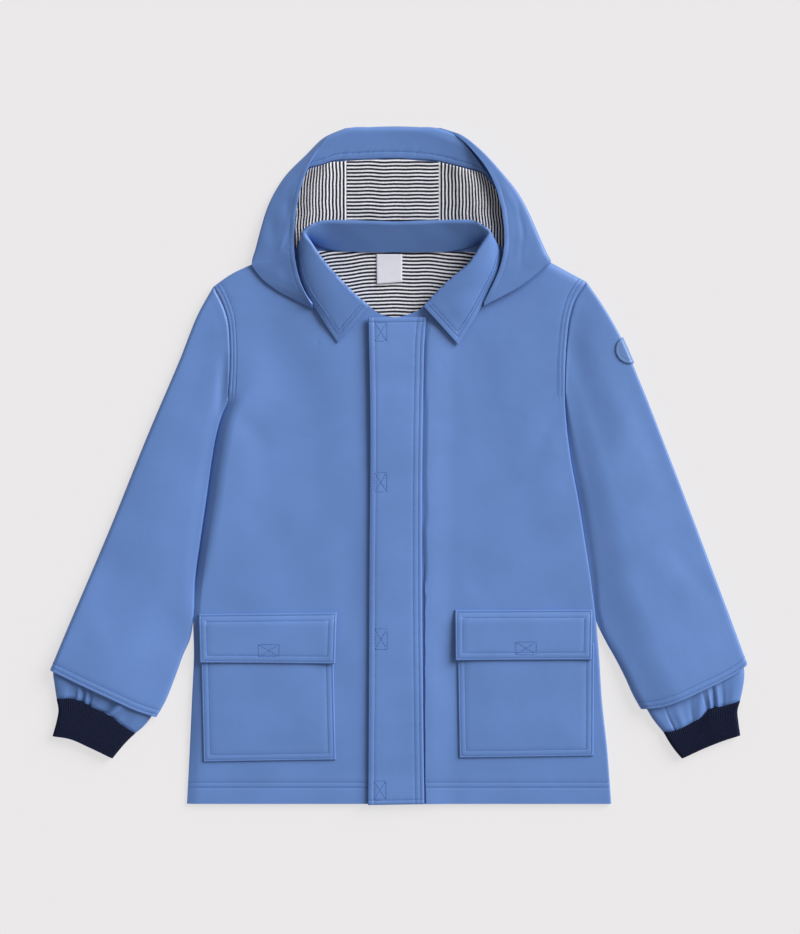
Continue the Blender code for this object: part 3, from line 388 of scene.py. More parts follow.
# x and y of the neck seam, of the crest and of the free edge
COLLAR_PLANS = {
    "right": [(-28.6, 470.6, -28, 471.2, -57.2, 437.4), (-40.3, 480.3, -39.6, 481, -64.2, 448),
              (-52.5, 491.8, -51.8, 492.6, -70.8, 458), (-64.6, 505, -63.8, 505.6, -77, 468),
              (-75.7, 518.5, -74.8, 519, -87, 485), (-82.7, 529.3, -82.2, 530.4, -93.4, 505),
              (-83, 534.5, -89.4, 540.4, -95, 523), (-74, 530, -83.4, 546.6, -84, 537),
              (-60, 525.8, -69, 551.4, -63, 536), (-40, 524.2, -41, 551.2, -41, 534),
              (0, 523.8, 0, 550.2, 0, 533)],
    "left": [(23.6, 469.6, 24.4, 471.2, 56.8, 435.6), (33, 479, 33.4, 480.8, 63, 446),
             (43.4, 489.2, 43.6, 491, 69.4, 456.6), (55.4, 499.8, 55.6, 501.4, 76.2, 468.6),
             (67, 510, 67.4, 511.6, 84.8, 486), (76.2, 524, 77, 525.8, 93, 504),
             (79.5, 534.5, 85.6, 540.6, 96, 521), (71, 530.6, 79.6, 546.8, 80, 537),
             (58, 526.4, 67, 551.6, 61, 536), (40, 524.2, 42, 551.6, 42, 534),
             (0, 523.8, 0, 550.2, 0, 533)],
}
NECK_ROWS = slice(2, 6)      # collar sections whose neck seam lies on a front

# Soft folds, each a ridge, or a trough where its height is negative, along a straight stretch:
# x and y of both ends, half-width and height
BODY_CREASES = [
    (-156, 374, -124, 338, 8, -0.55), (-158, 360, -138, 290, 13, 0.55),
    (-50, 452, -58, 350, 26, 1.8), (-118, 456, -112, 372, 34, -1.7),
    (-122, 462, -98, 392, 20, -0.45), (-100, 420, -110, 250, 22, 0.5),
    (-42, 300, -46, 130, 14, -0.4), (-150, 215, -70, 236, 16, -0.3), (-178, 32, -70, 26, 9, 0.25),
    (154, 376, 122, 322, 8, -0.55), (154, 352, 136, 280, 14, 0.5), (70, 452, 84, 352, 22, -0.5),
    (120, 468, 104, 380, 20, 0.45), (42, 280, 48, 140, 14, -0.35), (150, 214, 72, 244, 18, 0.35),
    (66, 214, 92, 190, 7, -0.25), (70, 30, 176, 24, 9, -0.25),
]
SLEEVE_CREASES = {
    "right": [(-182, 452, -196, 380, 13, -0.6), (-165, 424, -170, 370, 4.5, -1.5),
              (-205, 400, -262, 240, 17, 0.7), (-238, 372, -300, 210, 9, -0.35),
              (-215, 268, -268, 226, 8, -0.45), (-262, 236, -292, 178, 12, -0.4),
              (-214, 232, -252, 150, 12, 0.5), (-300, 196, -276, 136, 11, 0.45)],
    "left": [(174, 462, 170, 398, 11, -0.75), (190, 438, 226, 330, 18, 0.35),
             (214, 402, 262, 282, 10, -0.5), (238, 396, 282, 284, 8, 0.4),
             (196, 300, 224, 210, 14, -0.45), (232, 250, 296, 168, 16, 0.6),
             (262, 238, 306, 186, 7, -0.35), (240, 164, 262, 122, 10, -0.4)],
}
HOOD_CREASES = {
    "right": [(-112.5, 525, -103, 545, 2.4, 0.8), (-108, 528, -101, 552, 2.4, -0.7),
              (-103, 575, -106, 556, 4, -0.8), (-118, 520, -121, 560, 5, -0.5),
              (-99, 600, -112, 578, 5, 0.6), (-100, 585, -110, 577, 2.2, -0.4),
              (-112, 505, -100, 499, 7, -0.7)],
    "left": [(112.5, 570, 119, 534, 1.7, -0.42), (118.8, 552, 115, 508, 1.7, -0.42),
             (96, 592, 113, 560, 4, 0.5), (107, 545, 108, 515, 5, -0.3),
             (128, 536, 112, 504, 7, -0.5)],
}
SLEEVE_DOMES = {"right": (1.6, 0.55), "left": (4.5, 0.36)}    # height, place across of the crest
# Width of the valley between each sleeve and the coat's side, by height up the coat
VALLEYS = {
    "right": [(150, 0), (175, 0.2), (230, 0.35), (290, 0.65), (345, 1), (375, 0.9), (400, 0.2),
              (412, 0)],
    "left": [(150, 0), (175, 0.4), (230, 0.7), (290, 0.9), (345, 1), (375, 0.9), (400, 0.3),
             (412, 0)],
}
VALLEY_SHAPES = {"right": (3.0, 40.0), "left": (2.0, 10.0)}    # bottom and slope at full width
# How far the fronts' sides and the sleeves' inner edges round over, by height up the coat
FOLDED_OVER = {
    "right": [(0, 1), (400, 1)],
    "left": [(0, 1), (150, 1), (185, 0.45), (225, 0.45), (265, 0.9), (400, 0.9)],
}

# Boxes of stitching with a cross, where a fastener is held: centre, width and height
PLACKET_BOXES = [
    (-16.6, 447.5, 11.4, 17.5), (-16.6, 305.4, 11.4, 18.5), (-16.4, 156.8, 11.8, 19.5),
    (-17.4, 13.4, 11.4, 17.8),
]
FLAP_BOXES = {"right": (-122.6, 146, 19.6, 11.6), "left": (120.9, 148.2, 19.4, 12)}

# Slow waves in the cloth and in its stripes: height, seed, and the lengths that mix
UNEVEN = {
    "coat across": (0.22, 1.3, 97, 61), "coat along": (0.22, 2.2, 143, 71),
    "sleeve": (0.2, 3.0, 83, 57), "placket": (0.12, 2.0, 47, 31),
    "hood side": (0.25, 5.0, 41, 29), "collar": (0.25, 6.0, 53, 37),
    "facing": (0.25, 2.0, 67, 43), "facing gathers": (0.3, 4.0, 6.9, 11.7, 4.7),
    "lining along": (0.3, 2.0, 17, 29), "lining across": (0.25, 3.0, 37, 23),
    "lining side": (0.35, 4.0, 13, 21), "back lining": (0.25, 1.0, 19, 31),
    "centre stripes": (0.55, 1.0, 41, 23, 67), "side stripes": (0.4, 2.0, 31, 19),
    "back stripes": (0.5, 2.0, 53, 31),
}
# Points of each grid, across and along it, besides those near its edges
GRIDS = {
    "front": (46, 124), "back": (70, 110), "sleeve": (28, 90), "inner_cuff": (110, 26),
    "placket": (16, 190), "pocket": (26, 26), "pocket_flap": (26, 12), "hood_centre": (20, 28),
    "hood_facing": (110, 14), "hood_lining": (40, 40), "collar": (34, 150),
    "back_lining": (60, 40), "neck_label": (16, 16),
}


# Curves and grids

def spline(values, knots, slopes, at):
    """A cubic through values, which lie at knots with these slopes, read at the places at."""
    i = np.clip(np.searchsorted(knots, at, side="right") - 1, 0, len(knots) - 2)
    span = (knots[i + 1] - knots[i])[:, None]
    f = (at - knots[i])[:, None] / span
    return ((1 + 2 * f) * (1 - f) ** 2 * values[i] + f * (1 - f) ** 2 * span * slopes[i]
            + f * f * (3 - 2 * f) * values[i + 1] - f * f * (1 - f) * span * slopes[i + 1])


def between(rows, at):
    """Sections between a table's rows, at fractional row numbers, that never overshoot a row."""
    rows = np.array(rows, float)
    steps = np.diff(rows, axis=0)
    before, after = steps[:-1], steps[1:]
    same_way = before * after > 0
    middle = np.where(same_way, 2 * before * after / np.where(same_way, before + after, 1), 0)
    slopes = np.concatenate([steps[:1], middle, steps[-1:]])
    return spline(rows, np.arange(len(rows), dtype=float), slopes, at)


def roll(radius, steps):
    """Distances in from a folded edge, closer together where it rounds over."""
    return [radius * (1 - math.cos(math.pi / 2 * k / steps)) for k in range(steps + 1)]


def near_edge(*lines):
    """Distances from an edge where a grid needs points: at its border and at lines of stitching."""
    kept = [0.0]
    for place in sorted([*BORDER_POINTS, *(line + step for line in lines for step in LINE_POINTS)]):
        apart = place - kept[-1]
        if apart > MAX_STEP:
            kept += np.linspace(kept[-1], place, int(apart / MAX_STEP) + 2)[1:-1].tolist()
        if apart > MIN_STEP or place in lines:
            kept.append(place)
    return kept


def place_of(line, lines):
    """Number of the row or column that a line of stitching has in near_edge(*lines)."""
    return near_edge(*lines).index(line)


def lengths(points):
    """How far along a line each of its points lies."""
    return np.concatenate([[0.0], np.cumsum(np.linalg.norm(np.diff(points, axis=0), axis=1))])


def read(table, at):
    """What a table of pairs says at some places, evenly between its entries."""
    return np.interp(at, *zip(*table))


def run(points, count, start=(0,), end=(0,)):
    """Points along a curve: at the start and end distances, and count of them evenly between.

    Where the curve is short, the distances shrink to fit.
    """
    points = np.asarray(points, float)
    knots = lengths(points)
    length = knots[-1]
    tight = min(1.0, 0.8 * length / max(start[-1] + end[-1], RESTING))
    start, end = (tight * np.array(distances, float) for distances in (start, end))
    middle = np.linspace(start[-1], length - end[-1], count)
    at = np.array([*start[:-1], *middle, *(length - d for d in reversed(end[:-1]))])
    if len(points) > 2:
        slopes = np.gradient(points, knots, axis=0)
    else:
        slopes = np.repeat((points[1:] - points[:1]) / length, 2, axis=0)
    return spline(points, knots, slopes, at)


def joined(*runs):
    """Runs that meet end to end, as one."""
    return np.vstack([runs[0], *(r[1:] for r in runs[1:])])


def shares(points):
    """How far along a run each of its points lies, from 0 to 1."""
    far = lengths(points)
    return far / far[-1]


def fill(foot, top, first, last):
    """The grid between four edges: rows go from foot to top, columns from first to last."""
    u = (shares(foot) + shares(top))[None, :, None] / 2
    v = (shares(first) + shares(last))[:, None, None] / 2
    sides = (1 - u) * first[:, None] + u * last[:, None]
    ends = (1 - v) * foot[None] + v * top[None]
    corners = ((1 - u) * ((1 - v) * foot[0] + v * top[0]) + u * ((1 - v) * foot[-1] + v * top[-1]))
    return sides + ends - corners


def regrid(plan, columns, rows, first=(0,), last=(0,), foot=(0,), top=(0,)):
    """The same grid, with points at these distances from its edges and evenly between them."""
    plan = np.array([run(line, columns, first, last) for line in plan])
    return np.array([run(line, rows, foot, top) for line in plan.swapaxes(0, 1)]).swapaxes(0, 1)


def quad(patch, columns, rows, *lines):
    """The grid of a four-cornered piece, with points at the lines of stitching along its edges."""
    outer_foot, inner_foot, inner_top, outer_top = (np.array(c, float) for c in patch)
    steps = np.linspace(0, 1, 5)[:, None]
    foot, top = (outer_foot + (inner_foot - outer_foot) * steps,
                 outer_top + (inner_top - outer_top) * steps)
    first, last = (outer_foot + (outer_top - outer_foot) * steps,
                   inner_foot + (inner_top - inner_foot) * steps)
    edge = near_edge(*lines)
    return regrid(fill(foot, top, first, last), columns, rows, edge, edge, edge, edge)


# Edges of a grid, as the axis that leads away from it and whether it is that axis's last
FIRST, LAST, FOOT, TOP = EDGES = (1, False), (1, True), (0, False), (0, True)
Fold = namedtuple("Fold", "edge radius weight blunt", defaults=(1.0, 2.0))
Rounding = namedtuple("Rounding", "rise tuck")


def unit(vectors):
    return vectors / np.linalg.norm(vectors, axis=-1, keepdims=True)


def reach(plan, edge):
    """How far each point of a grid lies from one of its edges, along the grid's lines."""
    axis, back = edge
    grid = np.flip(plan, axis) if back else plan
    far = np.cumsum(np.linalg.norm(np.diff(grid, axis=axis), axis=2), axis=axis)
    far = np.insert(far, 0, 0.0, axis=axis)
    return np.flip(far, axis) if back else far


def rounding(plan, *folds):
    """How a grid rounds over at its folded edges.

    rise goes from 0 on a folded edge to 1 where the cloth lies flat; tuck points inwards from the
    fold, with length 1 on it. A fold's weight says how folded each row or column is there, and
    blunt how it curves: 1 is a straight slope and 2 a quarter round.
    """
    rise = np.ones(plan.shape[:2])
    tuck = np.zeros(plan.shape)
    for (axis, back), radius, weight, blunt in folds:
        grid = np.flip(plan, axis) if back else plan
        step = np.diff(grid, axis=axis)
        inward = unit(np.concatenate([step, np.take(step, [-1], axis)], axis))
        short = np.clip(1 - reach(grid, (axis, False)) / radius, 0, 1)
        if back:
            short, inward = np.flip(short, axis), np.flip(inward, axis)
        weight = np.expand_dims(np.broadcast_to(weight, plan.shape[1 - axis]), axis)
        rise = rise * (1 - weight * (1 - (1 - short ** blunt) ** (1 / blunt)))
        tuck += inward * (weight * short)[..., None]
    return Rounding(rise, tuck)


def with_z(plan, z):
    return np.concatenate([plan, np.broadcast_to(z, plan.shape[:2])[..., None]], axis=2)


def normals(grid):
    return unit(np.cross(np.gradient(grid, axis=1), np.gradient(grid, axis=0)))


def layer(plan, folds, middle, face, relief=0.0, wall=WALL):
    """Outer and inner grids of one layer of cloth, from a fold at height middle to its face."""
    outer = with_z(plan, middle + (face - middle + relief) * folds.rise)
    return outer, outer + wall * with_z(folds.tuck, -np.sign(face - middle) * folds.rise)


def ramp(value):
    """A smooth rise from 0 to 1, flat at both ends."""
    value = np.clip(value, 0, 1)
    return value * value * (3 - 2 * value)


def bell(value, width, middle=0.0):
    """1 where value is at the middle, dying away to both sides over about this width."""
    return np.exp(-((value - middle) / width) ** 2)


def rings(distance, table):
    """Height that a table's raised and sunk rings have at these distances from an edge."""
    return sum(height * bell(distance, width, place) for height, width, place in table)


# Relief

def waves(along, seed, *spans):
    """A smooth, uneven wave along a line, made of waves of these lengths."""
    return sum(np.sin(2 * math.pi * along / span + seed * (k + 1.7) * 2.1)
               for k, span in enumerate(spans)) / len(spans)


def uneven(kind, along):
    height, seed, *spans = UNEVEN[kind]
    return height * waves(along, seed, *spans)


def folded(plan, creases):
    """Height that creases add at each place, dying away towards both their ends."""
    total = 0.0
    for x0, y0, x1, y1, width, height in creases:
        start, way = np.array([x0, y0]), np.array([x1 - x0, y1 - y0])
        share = ((plan[..., :2] - start) @ way) / (way @ way)
        near = start + np.clip(share, 0, 1)[..., None] * way
        off = np.linalg.norm(plan[..., :2] - near, axis=-1)
        fade = np.sin(math.pi * np.clip(share * 0.8 + 0.1, 0.05, 0.95))
        total = total + height * fade * bell(off, width)
    return total


def nearest(plan, edges):
    return np.minimum.reduce([reach(plan, edge) for edge in edges])


def along_edges(plan, edges):
    """A length that grows along these edges of a grid."""
    axes = {axis for axis, _ in edges}
    return sum(reach(plan, start) for axis, start in ((1, FOOT), (0, FIRST)) if axis in axes)


def seam(plan, edges, lines, seed, swell=SWELL, groove=GROOVE):
    """Relief beside sewn edges: the cloth swells up to each line of stitching and sinks there."""
    distance, height, before = nearest(plan, edges), 0.0, 0.0
    for line in lines:
        share = np.clip((distance - before) / (line - before), 0, 1)
        height = height + swell * 4 * share * (1 - share)
        height = height - groove * bell(distance, GROOVE_WIDTH, line)
        before = line
    pucker = PUCKER * waves(along_edges(plan, edges), seed, *PUCKER_WAVES)
    return height + pucker * bell(distance, PUCKER_WIDTH, lines[-1])


def dents(relief):
    """Relief of an underside that lies flat: it can only sink into the cloth."""
    return np.maximum(-relief, 0)


# Heights that pieces share

def coat_top(plan):
    """Height of the coat's upper face, with its soft folds."""
    x, y = plan[..., 0], plan[..., 1]
    undulation = uneven("coat across", x + 0.35 * y) + uneven("coat along", y - 0.25 * x)
    rise = ramp(y / HEM_RISE)
    return (HEM_HEIGHT + (CHEST_HEIGHT - HEM_HEIGHT) * rise
            + (undulation + folded(plan, BODY_CREASES)) * (0.4 + 0.6 * rise))


# Pieces

def placed(name, data):
    """A new object in the scene, of this mesh, light or camera."""
    thing = bpy.data.objects.new(name, data)
    bpy.context.scene.collection.objects.link(thing)
    return thing


def shell(name, outer, inner, material, ring=False, chart=None):
    """A closed wall between an outer and an inner grid; a ring's last column joins its first."""
    rows, columns = outer.shape[:2]
    count = rows * columns
    index = np.arange(count).reshape(rows, columns)
    if ring:
        index = np.concatenate([index, index[:, :1]], axis=1)

    def skin(grid):
        corners = (grid[:-1, :-1], grid[:-1, 1:], grid[1:, 1:], grid[1:, :-1])
        return np.stack(corners, axis=-1).reshape(-1, 4)

    rims = [index[0][::-1], index[-1]]
    if not ring:
        rims += [index[:, 0], index[::-1, -1]]
    walls = [np.stack([rim[:-1], rim[1:], rim[1:] + count, rim[:-1] + count], axis=-1)
             for rim in rims]
    faces = np.concatenate([skin(index), skin(index)[:, ::-1] + count, *walls])
    points = np.concatenate([outer.reshape(-1, 3), inner.reshape(-1, 3)]) + SHIFT
    a, b, c, d = (points[faces[:, k]] for k in range(4))
    volume = np.einsum("ij,ij->", a, np.cross(b, c) + np.cross(c, d))
    if volume < 0:
        faces = faces[:, ::-1]
    mesh = bpy.data.meshes.new(name)
    mesh.from_pydata((points * MM).tolist(), [], faces.tolist())
    if chart is not None:
        flat = np.tile(chart.reshape(-1, 2), (2, 1))
        uv = mesh.uv_layers.new(name="chart")
        uv.data.foreach_set("uv", flat[faces.ravel()].astype(np.float32).ravel())
    mesh.shade_smooth()
    mesh.set_sharp_from_angle(angle=SHARP)
    mesh.materials.append(material)
    return placed(name, mesh)


def cloth(node, outer, inner, slot="coated_fabric", ring=False, chart=None, held="laid",
          rests_on=()):
    """A cloth piece that stands for a node of the frame, whose own part it hides."""
    piece = shell(f"{node}_cloth", outer, inner, MATERIALS[slot], ring, chart)
    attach(piece, "root")
    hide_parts(node)


def laid_on(node, plan, base, thick, relief=0.0, top_ease=EASE, **more):
    """A flat piece on another: its underside follows base and its border rounds over."""
    borders = [Fold(edge, EASE) for edge in (FIRST, LAST, FOOT)]
    rise = rounding(plan, *borders, Fold(TOP, top_ease)).rise
    eased = BORDER_SHARE + (1 - BORDER_SHARE) * rise
    outer = with_z(plan, base + thick * eased + relief * rise)
    cloth(node, outer, with_z(plan, base), **more)
    return outer


def tube(node, plan, folds, middle, half, wall=WALL, front=0.0, back=0.0, lift=0.0, **more):
    """A flattened tube whose two layers meet in folds at its first and last columns.

    lift raises the front, and the back follows it part of the way.
    """
    layers = [layer(plan, folds, middle, middle + half, front, wall),
              layer(plan, folds, middle, middle - half, back, wall)]
    for grids, amount in zip(layers, (lift, BACK_FOLLOWS * np.maximum(lift, 0))):
        for grid in grids:
            grid[..., 2] += amount * folds.rise
    rings = [np.concatenate([upper, lower[:, -2:0:-1]], axis=1) for upper, lower in zip(*layers)]
    cloth(node, *rings, ring=True, held="folded", **more)
    return layers[0][0]


# Topstitching

threads = {}


def stitch(group, path):
    """Lays stitches along a line of points on the cloth, for one of the pieces of thread."""
    far = lengths(path)
    starts = np.arange(int(far[-1] / STITCH_PITCH)) * STITCH_PITCH + STITCH_GAP / 2
    pairs = [np.column_stack([np.interp(at, far, path[:, k]) for k in range(3)])
             for at in (starts, starts + STITCH_PITCH - STITCH_GAP)]
    threads.setdefault(group, []).append(np.stack(pairs, axis=1))


def stitch_along(group, outer, lines, edge):
    """Topstitching along one edge of a grid, from end to end."""
    axis, back = edge
    for line in lines:
        k = place_of(line, lines)
        stitch(group, np.take(outer, -1 - k if back else k, 1 if axis else 0))


def stitch_round(group, outer, lines, edges):
    """Topstitching along both sides of a grid, and along its foot and top where they are edges."""
    for line in lines:
        k = place_of(line, lines)
        rows = slice(k if FOOT in edges else 0, -k if TOP in edges else None)
        ends = [end for end, edge in ((k, FOOT), (-1 - k, TOP)) if edge in edges]
        for path in (outer[rows, k], outer[rows, -1 - k], *(outer[end, k:-1 - k] for end in ends)):
            stitch(group, path)


def height_on(outer, places):
    """Height of a grid at some places in plan, from its nearest points."""
    flat = outer.reshape(-1, 3)
    heights = []
    for place in places:
        off = np.hypot(*(flat[:, :2] - place).T)
        near = np.argsort(off)[:4]
        weight = 1 / (off[near] + 0.05) ** 2
        heights.append((flat[near, 2] * weight).sum() / weight.sum())
    return np.array(heights)


def stitch_box(group, box, outer):
    """A box of stitching with a cross in it, on the cloth whose outer grid is given."""
    x, y, width, height = box
    x0, x1, y0, y1 = x - width / 2, x + width / 2, y - height / 2, y + height / 2
    corners = [(x0, y0), (x1, y0), (x1, y1), (x0, y1)]
    for a, b in ((0, 1), (1, 2), (2, 3), (3, 0), (0, 2), (3, 1)):
        plan = run([corners[a], corners[b]], BOX_POINTS)
        stitch(group, np.column_stack([plan, height_on(outer, plan)]))


def box_relief(plan, box):
    """The lines that a crossed box of stitching draws into the cloth."""
    centre_x, centre_y, width, height = box
    x, y = (plan[..., 0] - centre_x) / width * 2, (plan[..., 1] - centre_y) / height * 2
    inside = (np.abs(x) < BOX_REACH) & (np.abs(y) < BOX_REACH)
    edge = np.minimum(np.abs(1 - np.abs(x)) * width, np.abs(1 - np.abs(y)) * height) / 2
    cross = np.abs(np.abs(x) - np.abs(y)) * min(width, height) / 2 / math.sqrt(2)
    return -0.5 * GROOVE * inside * bell(np.minimum(edge, cross), BOX_GROOVE)


def make_threads():
    """Each group of stitches as one joined mesh of small rounded capsules."""
    sides = 5
    sections = [(-1.0, 0.35), (-0.72, 1.0), (0.72, 1.0), (1.0, 0.35)]
    turns = np.arange(sides) * 2 * math.pi / sides
    ring = np.arange(sides)
    quads = [(a * sides + i, a * sides + j, (a + 1) * sides + j, (a + 1) * sides + i)
             for a in range(len(sections) - 1) for i, j in zip(ring, np.roll(ring, -1))]
    caps = [tuple(ring[::-1]), tuple(ring + (len(sections) - 1) * sides)]
    for group, pairs in threads.items():
        pairs = np.concatenate(pairs)
        centre, half = pairs.mean(axis=1), (pairs[:, 1] - pairs[:, 0]) / 2
        way = unit(half)
        across = unit(np.cross([0.0, 0.0, 1.0], way))
        up = np.cross(way, across)
        points = [centre + share * half + up * (STITCH_LIFT * thick)
                  + THREAD_RADIUS * thick * (math.cos(turn) * across + math.sin(turn) * up)
                  for share, thick in sections for turn in turns]
        points = np.stack(points, axis=1)
        size = points.shape[1]
        faces = [[int(i) + n * size for i in face] for n in range(len(points))
                 for face in (*quads, *caps)]
        mesh = bpy.data.meshes.new(group)
        mesh.from_pydata(((points.reshape(-1, 3) + SHIFT) * MM).tolist(), [], faces)
        mesh.shade_smooth()
        mesh.materials.append(MATERIALS["thread"])
        piece = placed(group, mesh)
        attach(piece, "root")


# Body

def body_edge(side):
    return joined(run(SIDES[side], 40), run(ARMHOLES[side], 24))


def edge_y(plan, edge):
    """Height up the coat of each row where it meets the grid's first or last edge."""
    return plan[:, -1 if edge == LAST else 0, 1]


def above_underarm(y):
    return ramp((y - UNDERARM + UNDERARM_BLEND / 2) / UNDERARM_BLEND)


def at_armhole(plan, edge):
    """Weight of each row: 0 along the side seam, 1 along the armhole."""
    return above_underarm(edge_y(plan, edge))


def at_shoulder(plan, side):
    """Weight of each column at the top: 0 along the neck, 1 along the shoulder seam."""
    from_neck = np.abs(plan[-1, :, 0]) - abs(SHOULDERS[side][-1][0])
    return ramp((from_neck + SHOULDER_BLEND / 2) / SHOULDER_BLEND)


def armhole_seam(plan, edge, seed):
    relief = seam(plan, [edge], ARMHOLE_LINES, seed)
    sunk = -ARMHOLE_SINK * bell(reach(plan, edge), 0.8)
    return (relief + sunk) * at_armhole(plan, edge)[:, None]


def side_roll(plan, edge, side):
    """Width over which each row of a grid rounds over at the coat's side."""
    return read(SIDE_ROLLS[side], edge_y(plan, edge))[:, None]


def beside_sleeve(plan):
    """Weight of each place: 1 where the sleeve lies along the side, 0 below and at the armhole."""
    start, length = BESIDE_SLEEVE
    y = plan[..., 1]
    return ramp((y - start) / length) * (1 - above_underarm(y))


def fold_drop(plan):
    """How far below half the coat's height its sides are folded."""
    drop = np.where(plan[..., 0] < 0, SIDE_DROP["right"], SIDE_DROP["left"])
    return drop * beside_sleeve(plan)


def eased_side(plan, side):
    """How far the coat's face stands up near its side and falls away over it."""
    from_side, y = reach(plan, FIRST), plan[..., 1]
    foot, foot_length = STAND_FOOT
    top, top_length = STAND_TOP
    seam_start, seam_length, off = STAND_SEAM
    beside_seam = ramp((plan[:, :1, 1] - seam_start) / seam_length) * (1 - ramp(from_side / off))
    stand = (SIDE_STAND[side] * ramp(1 - from_side / STAND_WIDTH) * (1 - beside_seam)
             * ramp((y - foot) / foot_length) * ramp((top - y) / top_length))
    return stand - SIDE_EASE[side] * ramp(1 - from_side / EASE_WIDTH) * beside_sleeve(plan)


def beside_placket(plan):
    """How far the wearer's left front stands up beside the seam that holds the placket."""
    sewn_x, sewn_y = np.array(PLACKET_SEWN_EDGE).T
    off = plan[..., 0] - np.interp(plan[..., 1], sewn_y, sewn_x)
    return (SEWN_RISE * ramp((off - 0.6) / 0.8) * ramp(1 - off / SEWN_SPREAD)
            * ramp((COAT_LENGTH - plan[..., 1]) / 10))


def make_front(side):
    first = body_edge(side)
    centre_x = CENTRE_FRONT + OUTWARDS[side] * SEAM / 2
    last = run([(centre_x, 0), (centre_x, COAT_LENGTH)], len(first))
    under_collar = [row[:2] for row in reversed(COLLAR_PLANS[side][NECK_ROWS])]
    neck = [SHOULDERS[side][-1], *under_collar, *CENTRE_NECK[side], (centre_x, COAT_LENGTH)]
    top = joined(run(SHOULDERS[side], SHOULDER_POINTS), run(neck, 14))
    coarse = fill(run([first[0], last[0]], len(top)), top, first, last)
    plan = regrid(coarse, *GRIDS["front"], near_edge(*ARMHOLE_LINES), CENTRE_POINTS[side],
                  near_edge(*COAT_HEM_LINES), near_edge())
    over = read(FOLDED_OVER[side], plan[:, 0, 1]) * (1 - at_armhole(plan, FIRST))
    folds = rounding(plan, Fold(FIRST, side_roll(plan, FIRST, side), over, SIDE_BLUNT),
                     Fold(TOP, SHOULDER_ROLL, at_shoulder(plan, side)))
    seed = FRONT_SEEDS[side]
    relief = armhole_seam(plan, FIRST, seed) + seam(plan, [FOOT], COAT_HEM_LINES, seed)
    face = coat_top(plan) + eased_side(plan, side)
    if side == "left":
        face = face + beside_placket(plan)
    middle = coat_top(plan) / 2 + SEAM / 2 - fold_drop(plan)
    outer, inner = layer(plan, folds, middle, face, relief)
    cloth(f"front_{side}", outer, inner, rests_on=["back"])
    stitch_along("topstitching_body", outer[at_armhole(outer, FIRST) > 0.4], ARMHOLE_LINES, FIRST)
    stitch_along("topstitching_body", outer, COAT_HEM_LINES, FOOT)


def make_back():
    first, last = body_edge("right"), body_edge("left")
    right, left = (run(SHOULDERS[side], SHOULDER_POINTS) for side in ("right", "left"))
    top = joined(right, run(BACK_NECK, 20), left[::-1])
    coarse = fill(run([first[0], last[0]], len(top)), top, first, last)
    armhole = near_edge(*ARMHOLE_LINES)
    plan = regrid(coarse, *GRIDS["back"], armhole, armhole, near_edge(*COAT_HEM_LINES),
                  near_edge())
    sides = [Fold(edge, side_roll(plan, edge, side), 1 - at_armhole(plan, edge))
             for edge, side in ((FIRST, "right"), (LAST, "left"))]
    folds = rounding(plan, *sides, Fold(TOP, SHOULDER_ROLL, at_shoulder(plan, "left")))
    relief = (armhole_seam(plan, FIRST, 3.0) + armhole_seam(plan, LAST, 4.0)
              + seam(plan, [FOOT], COAT_HEM_LINES, 5.0))
    middle = coat_top(plan) / 2 - SEAM / 2 - fold_drop(plan)
    outer, inner = layer(plan, folds, middle, 0.0, dents(relief))
    cloth("back", outer, inner)


# Sleeves and cuffs

def badge_lift(plan):
    """How far the badge, where it passes under the sleeve, holds the sleeve off the surface."""
    across = np.linalg.norm(plan - plan[:, :1], axis=2)
    along = np.abs(plan[:, :1, 1] - BADGE_HEIGHT)
    return (BADGE_LIFT * ramp((LIFT_ALONG - along) / LIFT_FADE)
            * ramp((LIFT_ACROSS - across) / LIFT_FADE))


def dome(plan, side):
    """How far a sleeve rises from its inner edge to a crest, and falls to its outer edge."""
    height, crest = SLEEVE_DOMES[side]
    share = reach(plan, LAST) / (reach(plan, LAST) + reach(plan, FIRST))
    down = shares(plan[:, 0])[:, None]
    outer = 1 - np.clip((share - crest) / (1 - crest), 0, 1) ** DOME_BLUNT
    return height * np.where(share < crest, ramp(share / crest), outer) * ramp(down / DOME_STARTS)


def valley(plan, side):
    """How far a sleeve sinks along the side of the coat."""
    width = read(VALLEYS[side], plan[:, -1:, 1])
    bottom, rise = VALLEY_SHAPES[side]
    from_edge = reach(plan, LAST)
    return VALLEY_DEPTH[side] * ramp(2.5 * width) * ramp(
        1 - (from_edge - bottom * width) / (rise * width + 2))


